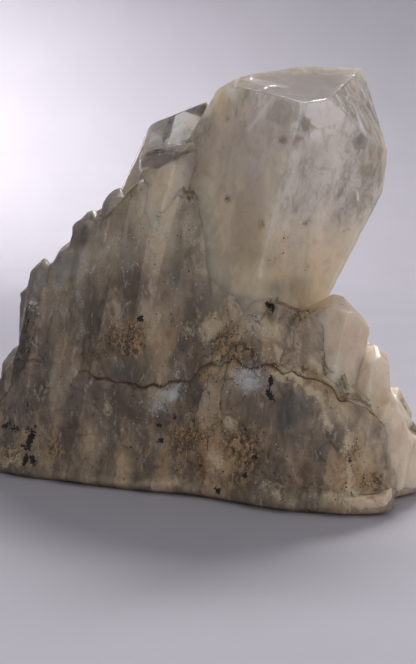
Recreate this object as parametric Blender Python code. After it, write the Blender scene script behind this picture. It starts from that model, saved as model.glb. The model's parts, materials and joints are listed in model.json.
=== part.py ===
"""A quartz cluster: one big, partly clear citrine point with smaller points round it on a broken root mass.

Metres, +Z up. The cluster stands on the flat of its broken root. Its best side faces -Y.
Every crystal is a block cut by its own faces, as a cutter would cut it on a goniometer: each face has
an azimuth round the crystal's axis (0 faces -Y, positive to +X), a slope above the prism and a distance
from the crystal's centre.
"""

import math
import random

import bmesh
import bpy
from mathutils import Matrix, Vector, noise

MM = 0.001

# The cluster was set out from a point under the big crystal. This brings the middle of its base to the origin.
SETTING_OUT = Vector((2.8, -8.9, 0.0))

# Root mass: stations round the foot, counter-clockwise from above, starting at the left end.
# x and y of the foot, height of the healed crack, height of the crest, how far the mass below the crack
# stands proud, and how far the wall is hollowed at its crest (all mm).
STATIONS = (
    (-63.0, 15.5, 8.0, 12.0, 0.0, 0.0),
    (-60.5, 10.5, 14.0, 18.0, 0.0, 0.0),
    (-55.0, 8.0, 20.0, 25.0, 0.0, 0.0),
    (-51.0, 5.2, 26.0, 34.0, 0.0, 0.0),
    (-48.0, 3.7, 29.5, 49.0, 0.3, 0.0),
    (-42.0, 1.5, 29.5, 55.5, 0.7, 0.0),
    (-36.0, -0.8, 28.5, 60.5, 1.0, 0.0),
    (-30.0, -3.5, 28.0, 66.0, 1.0, 0.0),
    (-25.0, -5.5, 27.0, 72.5, 1.0, -1.0),
    (-20.0, -7.5, 26.3, 77.0, 1.0, -2.0),
    (-14.5, -9.0, 27.0, 79.0, 1.0, -2.0),
    (-9.0, -10.3, 27.8, 73.0, 1.0, -1.0),
    (-6.2, -11.2, 28.2, 71.5, 1.0, 0.0),
    (-4.8, -11.7, 28.4, 62.0, 1.0, 0.5),
    (-3.6, -12.2, 29.3, 56.0, 1.0, 1.0),
    (-1.0, -13.5, 32.5, 55.0, 1.0, 1.0),
    (3.5, -16.3, 33.3, 54.5, 1.2, 1.0),
    (7.0, -18.1, 33.4, 53.5, 1.2, 0.5),
    (9.4, -19.4, 33.4, 49.0, 1.2, 0.5),
    (12.5, -21.0, 33.5, 48.5, 1.2, 0.5),
    (18.5, -24.0, 33.3, 48.0, 1.2, 1.0),
    (22.5, -24.9, 32.6, 47.0, 1.2, 1.0),
    (24.8, -25.4, 32.0, 43.5, 1.2, 1.0),
    (27.2, -25.6, 30.4, 36.0, 1.1, 0.8),
    (32.0, -26.0, 26.5, 30.0, 1.0, 0.5),
    (38.0, -26.0, 24.5, 27.0, 0.8, 0.0),
    (42.0, -24.5, 22.5, 25.0, 0.7, 0.0),
    (44.5, -18.0, 20.0, 23.0, 0.4, 0.0),
    (47.0, -13.5, 16.0, 19.0, 0.2, 0.0),
    (51.5, -10.0, 11.0, 14.0, 0.0, 0.0),
    (55.0, -5.0, 8.0, 11.0, 0.0, 0.0),
    (56.0, 3.0, 8.0, 12.0, 0.0, 0.0),
    (53.0, 13.0, 9.0, 15.0, 0.0, 0.0),
    (47.5, 23.0, 12.0, 20.0, 0.0, 0.0),
    (39.0, 31.0, 14.0, 26.0, 0.0, 0.0),
    (27.0, 36.0, 16.0, 31.0, 0.0, 0.0),
    (11.0, 38.0, 18.0, 36.0, 0.0, 0.0),
    (-6.0, 38.0, 18.0, 36.0, 0.0, 0.0),
    (-23.0, 36.0, 16.0, 31.0, 0.0, 0.0),
    (-39.0, 33.0, 13.0, 24.0, 0.0, 0.0),
    (-52.0, 28.5, 10.0, 17.0, 0.0, 0.0),
    (-60.0, 22.5, 8.0, 12.0, 0.0, 0.0),
)
CROWN = Vector((2.0, 12.0, 46.0))  # the top of the mass, buried under the crystals (mm)
AROUND = 104  # vertical lines round the mass
REST_INSET = 2.2  # the resting flat is this far inside the foot (mm)
REST_RISE = 2.0  # and the foot this far above it (mm)
BELOW_CRACK = (0.0, 0.25, 0.5, 0.74, 0.95)  # heights of the rings, as shares of the crack's height
ABOVE_CRACK = (0.05, 0.25, 0.5, 0.75, 1.0)  # and as shares of the wall from the crack to the crest
CAP_RINGS = ((0.4, 3.0), (0.75, 2.0))  # share of the way to the crown, and how much it bulges (mm)
CRACK_STEP = 0.7  # height of the crack's open edge (mm)
WALL_LEAN = 9.0  # the wall leans in by this much (degrees)
COLUMN_LEAN = 11.0  # and its broken columns lean to +X (degrees)
COLUMN_WIDTH = 5.2  # mm
COLUMN_UNEVEN = 0.9  # how uneven the widths of the columns are
COLUMN_GROOVE = 0.2  # share of a column's width that slopes into each groove beside it
COLUMN_RELIEF = 1.3  # relief of the columns below the crack (mm)
STRIA_RELIEF = 0.45  # and above it (mm)
RING_WANDER = 1.6  # how far the rings wander up and down (mm)
WANDER_SIZE = 4.0  # mm
LUMP_RELIEF = 1.1  # mm
LUMP_SIZE = 9.0  # mm

# All the crystals grew parallel: their axes lean to +X and to the back by about these degrees.
LEAN = (9.0, 12.0)

# Centre (mm), lean (degrees), faces (azimuth and slope in degrees, distance in mm).
BIG_POINT = (
    Vector((20.8, 13.0, 77.0)),
    LEAN,
    (
        (-44, -4, 18.7),  # broad front face, left
        (38, -12, 17.4),  # broad front face, right
        (56, -2, 20.6),  # narrow right face
        (63, -16, 21.2),  # the same, narrowing downwards
        (122, -17, 18.6),
        (130, 5, 17.4),
        (180, 0, 22.0),
        (-150, 0, 22.0),
        (-92, 2, 27.5),
        (-81, 20, 27.2),
        (-13, 61, 24.5),  # broad top
        (55, 28, 23.2),  # long right slope
        (178, 39, 23.9),
        (-26, 54, 25.5),  # narrow bevels at the left of the top
        (-52, 42, 27.8),
        (-124, 42, 22.9),
        (0, -90, 70.0),
    ),
)
FRONT_LEFT_POINT = (
    Vector((-8.9, 13.0, 76.6)),
    LEAN,
    (
        (-25, 4, 7.8),
        (53, -5, 5.1),
        (105, -10, 4.3),
        (-81, -6, 8.5),
        (-40, 45, 7.8),
        (-44, 33, 7.5),
        (170, 51, 4.9),
        (-150, 0, 9.0),
        (150, 0, 9.0),
        (0, -90, 19.0),
    ),
)
REAR_LEFT_POINT = (
    Vector((-6.9, 28.0, 86.0)),
    LEAN,
    (
        (-45, -4, 11.9),
        (44, 10, 5.6),
        (-80, 15, 9.3),
        (-50, 45, 5.8),
        (-65, 47, 7.4),
        (178, 39, 7.2),
        (100, 0, 12.0),
        (-150, 0, 12.0),
        (150, 0, 10.0),
        (0, -90, 55.0),
    ),
)

RIGHT_POINT = (
    Vector((31.0, -9.0, 38.0)),
    LEAN,
    (
        (-32, -2, 7.4),
        (36, -7, 7.2),
        (92, -2, 6.9),
        (-88, 0, 7.0),
        (150, 0, 9.0),
        (-150, 0, 9.0),
        (-70, 42, 9.4),
        (72, 50, 9.0),
        (-5, 66, 10.6),
        (170, 45, 9.5),
        (0, -90, 30.0),
    ),
)
RIGHT_STEP = (
    Vector((38.6, -10.5, 27.0)),
    LEAN,
    (
        (-40, 2, 5.6),
        (30, 4, 5.8),
        (88, 12, 5.6),
        (-95, 0, 5.0),
        (150, 0, 6.0),
        (-150, 0, 6.0),
        (-30, 52, 8.8),
        (60, 44, 8.6),
        (175, 50, 8.8),
        (0, -90, 20.0),
    ),
)

# Smaller points: x, y and z of the tip, half width, length (mm), lean to +X and to the back (degrees).
FLANK_POINTS = (
    (-22.4, 12.4, 75.0, 3.5, 44, 8, 9),
    (-25.8, 13.0, 70.5, 3.6, 44, 7, 9),
    (-29.8, 13.2, 69.0, 3.8, 44, 6, 9),
    (-33.6, 14.0, 62.0, 3.9, 42, 5, 9),
    (-37.2, 14.8, 57.6, 4.0, 40, 4, 9),
    (-42.4, 15.4, 56.2, 3.9, 40, 3, 9),
    (-44.8, 16.2, 50.6, 4.0, 36, 2, 9),
    (-50.0, 17.0, 33.0, 4.8, 20, -4, 8),
    (-55.4, 18.4, 23.8, 4.8, 14, -8, 8),
)
RIGHT_POINTS = (
    (44.0, -13.5, 27.0, 4.6, 20, 15, 4),
    (47.0, -13.0, 20.4, 4.4, 16, 14, 2),
    (50.2, -9.5, 15.8, 4.2, 12, 16, 2),
    (53.4, -4.5, 13.5, 3.8, 10, 18, 2),
    (42.0, 2.0, 31.0, 6.8, 26, 14, 8),
    (48.5, 6.0, 22.0, 5.6, 18, 18, 10),
)
REAR_POINTS = (
    (-20.0, 24.0, 64.0, 9.0, 42, 2, 13),
    (-33.0, 22.0, 50.0, 7.6, 34, -4, 12),
    (-43.0, 22.5, 40.0, 6.6, 28, -8, 13),
    (-52.0, 21.0, 27.0, 5.6, 19, -12, 12),
    (-10.0, 36.0, 66.0, 9.0, 45, 3, 17),
    (-27.0, 32.0, 45.0, 7.2, 30, -4, 18),
    (-40.0, 30.5, 32.0, 5.8, 22, -8, 19),
    (7.0, 38.0, 60.0, 8.6, 40, 7, 17),
    (22.0, 37.5, 51.0, 7.8, 34, 11, 17),
    (34.0, 33.0, 43.0, 7.2, 30, 13, 15),
    (43.0, 23.0, 33.0, 6.4, 24, 17, 14),
    (-5.0, 41.0, 38.0, 5.8, 22, 0, 20),
    (14.0, 41.5, 35.0, 5.8, 20, 8, 20),
    (30.0, 38.5, 31.0, 5.2, 18, 13, 19),
    (-50.0, 29.0, 20.0, 4.6, 14, -12, 18),
    (50.5, 15.0, 22.0, 5.2, 16, 18, 12),
)
FIRST_SIDE = -44.0  # azimuth of the front left prism face, the same on all the smaller points (degrees)
CAP_SLOPE = 38.0  # the slope of a quartz point's end faces (degrees)
SIDE_WANDER = 3.0  # how far a prism face may turn from its azimuth (degrees)
CAP_WANDER = 2.0  # and an end face from its slope (degrees)
SIDE_TAPER = (-1.5, 1.0)  # slopes of the prism faces (degrees)
SIDE_WIDTH = (0.82, 1.12)  # their distances, as shares of the half width
LARGE_CAP = (0.0, 0.12)  # distances of the three large end faces from the tip, as shares of the half width
SMALL_CAP = (0.12, 0.3)  # and of the three small ones
SMALL_POINT_SEED = 7

# A broken flake of crystal caught under the front right corner.
FLAKE = (
    Vector((37.0, -24.8, 3.9)),
    (84.0, -4.0),
    (
        (0, 0, 2.6),
        (58, 4, 2.5),
        (180, 0, 3.0),
        (-90, 0, 2.2),
        (-48, 3, 2.7),
        (120, -2, 2.6),
        (20, 60, 5.2),
        (-160, 52, 5.6),
        (0, -90, 5.5),
    ),
)

BLOCK = 400.0  # side of the block that a crystal is cut from (mm)
WELD = 0.01  # corners closer than this are one (mm)

MILKY_COLOUR = (0.42, 0.37, 0.30)
GLASSY_ROUGHNESS = 0.35
QUARTZ_IOR = 1.544


def clear_scene():
    for thing in list(bpy.data.objects):
        bpy.data.objects.remove(thing, do_unlink=True)


def collection(name, helper=False):
    """A collection of the scene; a helper's is left out of renders."""
    made = bpy.data.collections.new(name)
    bpy.context.scene.collection.children.link(made)
    made.hide_render = helper
    return made


def quartz_material(name, colour):
    material = bpy.data.materials.new(name)
    material.use_nodes = True
    shader = material.node_tree.nodes["Principled BSDF"]
    shader.inputs["Base Color"].default_value = (*colour, 1.0)
    shader.inputs["Roughness"].default_value = GLASSY_ROUGHNESS
    shader.inputs["Metallic"].default_value = 0.0
    shader.inputs["IOR"].default_value = QUARTZ_IOR
    material.diffuse_color = (*colour, 1.0)
    return material


def set_out(point):
    """A point of the setting-out, in mm, as a place in the scene."""
    return (point + SETTING_OUT) * MM


def lean_frame(to_right, to_back):
    """Columns x, y and axis of a crystal that leans by these degrees."""
    axis = Vector((math.tan(math.radians(to_right)), math.tan(math.radians(to_back)), 1.0)).normalized()
    x = (Vector((1.0, 0.0, 0.0)) - axis * axis.x).normalized()
    return Matrix((x, axis.cross(x), axis)).transposed()


def face_normal(frame, azimuth, slope):
    azimuth = math.radians(azimuth)
    slope = math.radians(slope)
    level = math.cos(slope)
    return frame @ Vector((math.sin(azimuth) * level, -math.cos(azimuth) * level, math.sin(slope)))


def cut_crystal(centre, lean, faces):
    """A block cut down to these faces."""
    frame = lean_frame(*lean)
    centre = set_out(centre)
    shape = bmesh.new()
    bmesh.ops.create_cube(shape, size=BLOCK * MM, matrix=Matrix.Translation(centre))
    for azimuth, slope, distance in faces:
        normal = face_normal(frame, azimuth, slope)
        cut = bmesh.ops.bisect_plane(
            shape,
            geom=shape.verts[:] + shape.edges[:] + shape.faces[:],
            plane_co=centre + normal * distance * MM,
            plane_no=normal,
            clear_outer=True,
        )
        rim = [piece for piece in cut["geom_cut"] if isinstance(piece, bmesh.types.BMEdge)]
        if rim:
            bmesh.ops.contextual_create(shape, geom=rim)
    bmesh.ops.remove_doubles(shape, verts=shape.verts, dist=WELD * MM)
    bmesh.ops.recalc_face_normals(shape, faces=shape.faces)
    return shape


def small_point_faces(half_width, length, chance):
    """Six prism faces, three large and three small end faces, and the root, as seen from the tip."""
    faces = []
    for side in range(6):
        azimuth = FIRST_SIDE + 60.0 * side
        turned = azimuth + chance.uniform(-SIDE_WANDER, SIDE_WANDER)
        faces.append((turned, chance.uniform(*SIDE_TAPER), half_width * chance.uniform(*SIDE_WIDTH)))
        slope = CAP_SLOPE + chance.uniform(-CAP_WANDER, CAP_WANDER)
        faces.append((azimuth, slope, half_width * chance.uniform(*(SMALL_CAP if side % 2 else LARGE_CAP))))
    faces.append((0.0, -90.0, length))
    return faces


def small_points(rows, chance):
    """One cut crystal for each row."""
    shapes = []
    for x, y, z, half_width, length, to_right, to_back in rows:
        faces = small_point_faces(half_width, length, chance)
        shapes.append(cut_crystal(Vector((x, y, z)), (to_right, to_back), faces))
    return shapes


def along_stations(share):
    """The station at this share of the way round, between its two neighbours."""
    corners = [Vector(row[:2]) for row in STATIONS]
    runs = [(corners[(i + 1) % len(corners)] - corner).length for i, corner in enumerate(corners)]
    way = share * sum(runs)
    index = 0
    while way > runs[index]:
        way -= runs[index]
        index += 1
    part = way / runs[index]
    first = STATIONS[index]
    second = STATIONS[(index + 1) % len(STATIONS)]
    return [a + (b - a) * part for a, b in zip(first, second)]


def column_relief(along, height):
    """Flat-fronted broken columns of uneven width and depth, with a groove between each two; about 0 to 1."""
    place = (along - height * math.tan(math.radians(COLUMN_LEAN))) / COLUMN_WIDTH
    place += COLUMN_UNEVEN * noise.noise(Vector((place / 3.0, 3.7, 0.0)))
    column = math.floor(place)
    edge = min(place - column, column + 1.0 - place)
    depth = 0.5 + 0.5 * noise.noise(Vector((column * 7.3, 1.3, height / 20.0)))
    return depth * min(1.0, edge / COLUMN_GROOVE)


class Wall:
    """The side of the root mass: lines that rise from points round its foot."""

    def __init__(self):
        self.stations = [along_stations(i / AROUND) for i in range(AROUND)]
        self.foot = [Vector((row[0], row[1], 0.0)) for row in self.stations]
        self.outward = []
        for i in range(AROUND):
            along = self.foot[(i + 2) % AROUND] - self.foot[i - 2]
            self.outward.append(Vector((along.y, -along.x, 0.0)).normalized())
        self.spacing = (self.foot[1] - self.foot[0]).length

    def point(self, i, height, relief, proud):
        """A point on line i; relief is that of the columns, and proud is added outwards."""
        foot = self.foot[i]
        wander = noise.noise(Vector((foot.x, foot.y, height)) / WANDER_SIZE)
        height += RING_WANDER * wander * min(1.0, (height - REST_RISE) / WANDER_SIZE)
        lean = height * math.tan(math.radians(WALL_LEAN))
        point = foot + Vector((0.0, 0.0, height)) - self.outward[i] * lean
        lump = LUMP_RELIEF * noise.noise(point / LUMP_SIZE)
        columns = relief * (column_relief(i * self.spacing, height) - 0.5)
        return point + self.outward[i] * (lump + columns + proud)

    def rings(self):
        """The rings of the mass, from the resting flat up to the last one before the crown."""
        found = [[foot - out * REST_INSET for foot, out in zip(self.foot, self.outward)]]
        for share in BELOW_CRACK:
            ring = []
            for i, (_, _, crack, _, proud, _) in enumerate(self.stations):
                height = REST_RISE + (crack - REST_RISE) * share
                ring.append(self.point(i, height, COLUMN_RELIEF, proud))
            found.append(ring)
        for share in ABOVE_CRACK:
            ring = []
            for i, (_, _, crack, crest, _, hollow) in enumerate(self.stations):
                height = crack + CRACK_STEP + (crest - crack - CRACK_STEP) * share
                ring.append(self.point(i, height, STRIA_RELIEF, -hollow * share**2))
            found.append(ring)
        crest_ring = found[-1]
        for share, bulge in CAP_RINGS:
            ring = []
            for point in crest_ring:
                inner = point.lerp(CROWN, share)
                ring.append(inner + Vector((0.0, 0.0, bulge * noise.noise(inner / LUMP_SIZE))))
            found.append(ring)
        return found


def root_mass():
    """The broken root, a loft from its resting flat to its crown."""
    shape = bmesh.new()
    rings = [[shape.verts.new(set_out(point)) for point in ring] for ring in Wall().rings()]
    shape.faces.new(reversed(rings[0]))
    for lower, upper in zip(rings, rings[1:]):
        for i in range(AROUND):
            after = (i + 1) % AROUND
            shape.faces.new((lower[i], lower[after], upper[after], upper[i]))
    crown = shape.verts.new(set_out(CROWN))
    for i in range(AROUND):
        shape.faces.new((rings[-1][i], rings[-1][(i + 1) % AROUND], crown))
    bmesh.ops.triangulate(shape, faces=shape.faces)
    bmesh.ops.recalc_face_normals(shape, faces=shape.faces)
    return shape


def as_object(shape, name, home, material):
    mesh = bpy.data.meshes.new(name)
    shape.to_mesh(mesh)
    shape.free()
    mesh.materials.append(material)
    made = bpy.data.objects.new(name, mesh)
    home.objects.link(made)
    return made


def grow_crystals(home, material):
    """Every crystal of the cluster, as a guide that the root mass is joined with."""
    chance = random.Random(SMALL_POINT_SEED)
    large = (BIG_POINT, FRONT_LEFT_POINT, REAR_LEFT_POINT, RIGHT_POINT, RIGHT_STEP, FLAKE)
    crystals = [cut_crystal(*row) for row in large]
    for rows in (FLANK_POINTS, RIGHT_POINTS, REAR_POINTS):
        crystals += small_points(rows, chance)
    for number, shape in enumerate(crystals):
        crystal = as_object(shape, f"crystal_{number:02d}", home, material)
        crystal.hide_render = True
        crystal.display_type = "WIRE"


def main():
    clear_scene()
    cluster_parts = collection("quartz_cluster")
    crystals = collection("crystals_to_join", helper=True)
    milky = quartz_material("milky_quartz", MILKY_COLOUR)
    grow_crystals(crystals, milky)
    cluster = as_object(root_mass(), "quartz_cluster", cluster_parts, milky)
    join = cluster.modifiers.new("grown_together", "BOOLEAN")
    join.operation = "UNION"
    join.solver = "EXACT"
    join.operand_type = "COLLECTION"
    join.collection = crystals


main()
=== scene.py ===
import json
import math
import random

import bmesh
import bpy
import numpy as np
from bpy.props import FloatProperty, FloatVectorProperty, IntProperty, PointerProperty
from mathutils import Matrix, Vector, noise
from mathutils.bvhtree import BVHTree

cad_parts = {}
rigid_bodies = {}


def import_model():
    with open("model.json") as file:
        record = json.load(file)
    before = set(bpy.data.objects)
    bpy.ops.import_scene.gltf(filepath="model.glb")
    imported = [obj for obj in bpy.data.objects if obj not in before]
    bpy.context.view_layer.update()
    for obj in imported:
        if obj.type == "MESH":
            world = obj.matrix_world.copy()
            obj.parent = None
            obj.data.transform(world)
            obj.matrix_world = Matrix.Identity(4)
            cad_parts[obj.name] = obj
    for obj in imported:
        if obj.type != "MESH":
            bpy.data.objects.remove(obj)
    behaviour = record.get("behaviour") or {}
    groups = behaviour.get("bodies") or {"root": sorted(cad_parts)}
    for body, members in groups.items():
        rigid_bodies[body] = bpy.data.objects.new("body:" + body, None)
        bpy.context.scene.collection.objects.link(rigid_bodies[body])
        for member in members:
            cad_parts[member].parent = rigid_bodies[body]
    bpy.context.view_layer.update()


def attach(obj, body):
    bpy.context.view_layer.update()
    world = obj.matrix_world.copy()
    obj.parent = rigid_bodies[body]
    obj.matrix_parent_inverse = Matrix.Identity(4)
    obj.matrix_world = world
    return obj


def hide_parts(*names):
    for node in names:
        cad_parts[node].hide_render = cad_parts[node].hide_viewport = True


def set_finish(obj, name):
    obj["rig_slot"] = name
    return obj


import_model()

bl_info = {
    "name": "Citrine point cluster",
    "version": (1, 0, 0),
    "blender": (4, 5, 0),
    "location": "3D View > Sidebar > Quartz",
    "description": "Dresses the quartz cluster: broken root, crystals, veils, stains and its stage",
    "category": "Mesh",
}

MM = 0.001
NOISE_SEED = 7  # without a seed, the directions of noise_vector follow the clock

# The cluster's tables are in millimetres from a point under the big crystal.
# This brings the middle of its base to the origin.
SETTING_OUT = Vector((2.8, -8.9, 0.0))

# The best side as it is seen in a frame of 416 by 664 pixels: marks are placed by their pixel in it.
VIEW_FRAME = (416.0, 664.0)
VIEW_LENS = 65.0  # mm, on a sensor 36 mm high
VIEW_SENSOR = 36.0
VIEW_DISTANCE = 300.0  # mm
VIEW_PITCH = 10.0  # degrees down
VIEW_TARGET = Vector((0.0, 0.0, 39.5))

# Root mass: x and y of the foot, height of the healed crack, height of the crest, how far the mass
# below the crack stands proud and how far the wall is hollowed at its crest (mm), counter-clockwise
# from the left end.
STATIONS = (
    (-63.0, 15.5, 8.0, 12.0, 0.0, 0.0),
    (-60.5, 10.5, 14.0, 18.0, 0.0, 0.0),
    (-55.0, 8.0, 20.0, 25.0, 0.0, 0.0),
    (-51.0, 5.2, 26.0, 34.0, 0.0, 0.0),
    (-48.0, 3.7, 29.5, 49.0, 0.3, 0.0),
    (-42.0, 1.5, 29.5, 55.5, 0.7, 0.0),
    (-36.0, -0.8, 28.5, 60.5, 1.0, 0.0),
    (-30.0, -3.5, 28.0, 66.0, 1.0, 0.0),
    (-25.0, -5.5, 27.0, 72.5, 1.0, -1.0),
    (-20.0, -7.5, 26.3, 77.0, 1.0, -2.0),
    (-14.5, -9.0, 27.0, 79.0, 1.0, -2.0),
    (-9.0, -10.3, 27.8, 73.0, 1.0, -1.0),
    (-6.2, -11.2, 28.2, 71.5, 1.0, 0.0),
    (-4.8, -11.7, 28.4, 62.0, 1.0, 0.5),
    (-3.6, -12.2, 29.3, 56.0, 1.0, 1.0),
    (-1.0, -13.5, 32.5, 55.0, 1.0, 1.0),
    (3.5, -16.3, 33.3, 54.5, 1.2, 1.0),
    (7.0, -18.1, 33.4, 53.5, 1.2, 0.5),
    (9.4, -19.4, 33.4, 49.0, 1.2, 0.5),
    (12.5, -21.0, 33.5, 48.5, 1.2, 0.5),
    (18.5, -24.0, 33.3, 48.0, 1.2, 1.0),
    (22.5, -24.9, 32.6, 47.0, 1.2, 1.0),
    (24.8, -25.4, 32.0, 43.5, 1.2, 1.0),
    (27.2, -25.6, 30.4, 36.0, 1.1, 0.8),
    (32.0, -26.0, 26.5, 30.0, 1.0, 0.5),
    (38.0, -26.0, 24.5, 27.0, 0.8, 0.0),
    (42.0, -24.5, 22.5, 25.0, 0.7, 0.0),
    (44.5, -18.0, 20.0, 23.0, 0.4, 0.0),
    (47.0, -13.5, 16.0, 19.0, 0.2, 0.0),
    (51.5, -10.0, 11.0, 14.0, 0.0, 0.0),
    (55.0, -5.0, 8.0, 11.0, 0.0, 0.0),
    (56.0, 3.0, 8.0, 12.0, 0.0, 0.0),
    (53.0, 13.0, 9.0, 15.0, 0.0, 0.0),
    (47.5, 23.0, 12.0, 20.0, 0.0, 0.0),
    (39.0, 31.0, 14.0, 26.0, 0.0, 0.0),
    (27.0, 36.0, 16.0, 31.0, 0.0, 0.0),
    (11.0, 38.0, 18.0, 36.0, 0.0, 0.0),
    (-6.0, 38.0, 18.0, 36.0, 0.0, 0.0),
    (-23.0, 36.0, 16.0, 31.0, 0.0, 0.0),
    (-39.0, 33.0, 13.0, 24.0, 0.0, 0.0),
    (-52.0, 28.5, 10.0, 17.0, 0.0, 0.0),
    (-60.0, 22.5, 8.0, 12.0, 0.0, 0.0),
)
FRONT_STATIONS = 30  # the best side runs from the first station to this one
CROWN = Vector((2.0, 12.0, 46.0))  # mm
REST_INSET = 2.2
REST_RISE = 2.0
STATION_STEP = 0.25
OUTWARD_STEPS = 6  # the steps to each side that the wall's outward direction is taken over
CORNER_EASE = 2.4
CRACK_GAP = 0.13  # how wide the healed crack stands open
CRACK_RINGS = ((0.15, 0.5), (0.45, 1.0), (0.75, 0.75))  # place in the gap, share of the depth
WALL_LEAN = 9.0  # degrees
COLUMN_LEAN = 11.0  # degrees
COLUMN_WIDTH = 5.2
COLUMN_UNEVEN = 0.9
COLUMN_GROOVE = 0.2
COLUMN_RELIEF = 1.3
STRIA_RELIEF = 0.45
RING_WANDER = 1.6
WANDER_SIZE = 4.0
LUMP_RELIEF = 1.1
LUMP_SIZE = 9.0
MIDDLE_LUMPS = (0.26, 3.4)  # relief and size
SMALL_LUMPS = (0.10, 1.5)
CHIPS = (0.50, 2.6)
SMALL_CHIPS = (0.19, 1.1)
CHIP_GROOVES = (0.10, 0.04)  # depth round the larger and the smaller chips
CHIP_GROOVE_REACH = 0.12
CAP_BULGE = 3.0
FLANK_END = 75.0  # along the foot, where the broken right side begins
ROUGH_RISE = 18.0  # above the crack, where the wall is no longer broken
SINK_DEPTH = 0.35  # how far a crest that runs down onto the big point ends inside it
SINK_EASE = 11  # lines that it is eased over

# Each crystal: centre (mm), lean to +X and to the back (degrees), and its faces as azimuth from the
# best side and slope above the prism (degrees) and distance from the centre (mm).
LEAN = (9.0, 12.0)
BIG_POINT = (
    (20.8, 13.0, 77.0),
    LEAN,
    (
        (-44, -4, 18.7),
        (38, -12, 17.4),
        (56, -2, 20.6),
        (63, -16, 21.2),
        (122, -17, 18.6),
        (130, 5, 17.4),
        (180, 0, 22.0),
        (-150, 0, 22.0),
        (-92, 2, 27.5),
        (-81, 20, 27.2),
        (-13, 61, 24.5),
        (55, 28, 23.2),
        (178, 39, 23.9),
        (-26, 54, 25.5),
        (-52, 42, 27.8),
        (-124, 42, 22.9),
        (0, -90, 70.0),
    ),
)
FRONT_LEFT_POINT = (
    (-8.9, 13.0, 76.6),
    LEAN,
    (
        (-25, 4, 7.8),
        (53, -5, 5.1),
        (105, -10, 4.3),
        (-81, -6, 8.5),
        (-40, 45, 7.8),
        (-44, 33, 7.5),
        (170, 51, 4.9),
        (-150, 0, 9.0),
        (150, 0, 9.0),
        (0, -90, 19.0),
    ),
)
REAR_LEFT_POINT = (
    (-6.9, 28.0, 86.0),
    LEAN,
    (
        (-45, -4, 11.9),
        (44, 10, 5.6),
        (-80, 15, 9.3),
        (-50, 45, 5.8),
        (-65, 47, 7.4),
        (178, 39, 7.2),
        (100, 0, 12.0),
        (-150, 0, 12.0),
        (150, 0, 10.0),
        (0, -90, 55.0),
    ),
)
RIGHT_POINT = (
    (31.0, -9.0, 38.0),
    LEAN,
    (
        (-32, -2, 7.4),
        (36, -7, 7.2),
        (92, -2, 6.9),
        (-88, 0, 7.0),
        (150, 0, 9.0),
        (-150, 0, 9.0),
        (-70, 42, 9.4),
        (72, 50, 9.0),
        (-5, 66, 10.6),
        (170, 45, 9.5),
        (0, -90, 30.0),
    ),
)
RIGHT_STEP = (
    (38.6, -10.5, 27.0),
    LEAN,
    (
        (-40, 2, 5.6),
        (30, 4, 5.8),
        (88, 12, 5.6),
        (-95, 0, 5.0),
        (150, 0, 6.0),
        (-150, 0, 6.0),
        (-30, 52, 8.8),
        (60, 44, 8.6),
        (175, 50, 8.8),
        (0, -90, 20.0),
    ),
)
FLAKE = (
    (37.0, -24.8, 3.9),
    (84.0, -4.0),
    (
        (0, 0, 2.6),
        (58, 4, 2.5),
        (180, 0, 3.0),
        (-90, 0, 2.2),
        (-48, 3, 2.7),
        (120, -2, 2.6),
        (20, 60, 5.2),
        (-160, 52, 5.6),
        (0, -90, 5.5),
    ),
)

# Smaller points: x, y and z of the tip, half width, length (mm), lean to +X and to the back (degrees).
FLANK_POINTS = (
    (-22.4, 12.4, 75.0, 3.5, 44, 8, 9),
    (-25.8, 13.0, 70.5, 3.6, 44, 7, 9),
    (-29.8, 13.2, 69.0, 3.8, 44, 6, 9),
    (-33.6, 14.0, 62.0, 3.9, 42, 5, 9),
    (-37.2, 14.8, 57.6, 4.0, 40, 4, 9),
    (-42.4, 15.4, 56.2, 3.9, 40, 3, 9),
    (-44.8, 16.2, 50.6, 4.0, 36, 2, 9),
    (-50.0, 17.0, 33.0, 4.8, 20, -4, 8),
    (-55.4, 18.4, 23.8, 4.8, 14, -8, 8),
)
RIGHT_POINTS = (
    (44.0, -13.5, 27.0, 4.6, 20, 15, 4),
    (47.0, -13.0, 20.4, 4.4, 16, 14, 2),
    (50.2, -9.5, 15.8, 4.2, 12, 16, 2),
    (53.4, -4.5, 13.5, 3.8, 10, 18, 2),
    (42.0, 2.0, 31.0, 6.8, 26, 14, 8),
    (48.5, 6.0, 22.0, 5.6, 18, 18, 10),
)
REAR_POINTS = (
    (-20.0, 24.0, 64.0, 9.0, 42, 2, 13),
    (-33.0, 22.0, 50.0, 7.6, 34, -4, 12),
    (-43.0, 22.5, 40.0, 6.6, 28, -8, 13),
    (-52.0, 21.0, 27.0, 5.6, 19, -12, 12),
    (-10.0, 36.0, 66.0, 9.0, 45, 3, 17),
    (-27.0, 32.0, 45.0, 7.2, 30, -4, 18),
    (-40.0, 30.5, 32.0, 5.8, 22, -8, 19),
    (7.0, 38.0, 60.0, 8.6, 40, 7, 17),
    (22.0, 37.5, 51.0, 7.8, 34, 11, 17),
    (34.0, 33.0, 43.0, 7.2, 30, 13, 15),
    (43.0, 23.0, 33.0, 6.4, 24, 17, 14),
    (-5.0, 41.0, 38.0, 5.8, 22, 0, 20),
    (14.0, 41.5, 35.0, 5.8, 20, 8, 20),
    (30.0, 38.5, 31.0, 5.2, 18, 13, 19),
    (-50.0, 29.0, 20.0, 4.6, 14, -12, 18),
    (50.5, 15.0, 22.0, 5.2, 16, 18, 12),
)
FIRST_SIDE = -44.0
CAP_SLOPE = 38.0
SIDE_WANDER = 3.0
CAP_WANDER = 2.0
SIDE_TAPER = (-1.5, 1.0)
SIDE_WIDTH = (0.82, 1.12)
LARGE_CAP = (0.0, 0.12)
SMALL_CAP = (0.12, 0.3)
SMALL_POINT_SEED = 7
BLOCK = 400.0  # mm, the cube that a crystal is cut from
WELD = 0.01  # mm
FILLET_ROUNDS = 12
MELT_SIZE = 0.00045  # metres
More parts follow.
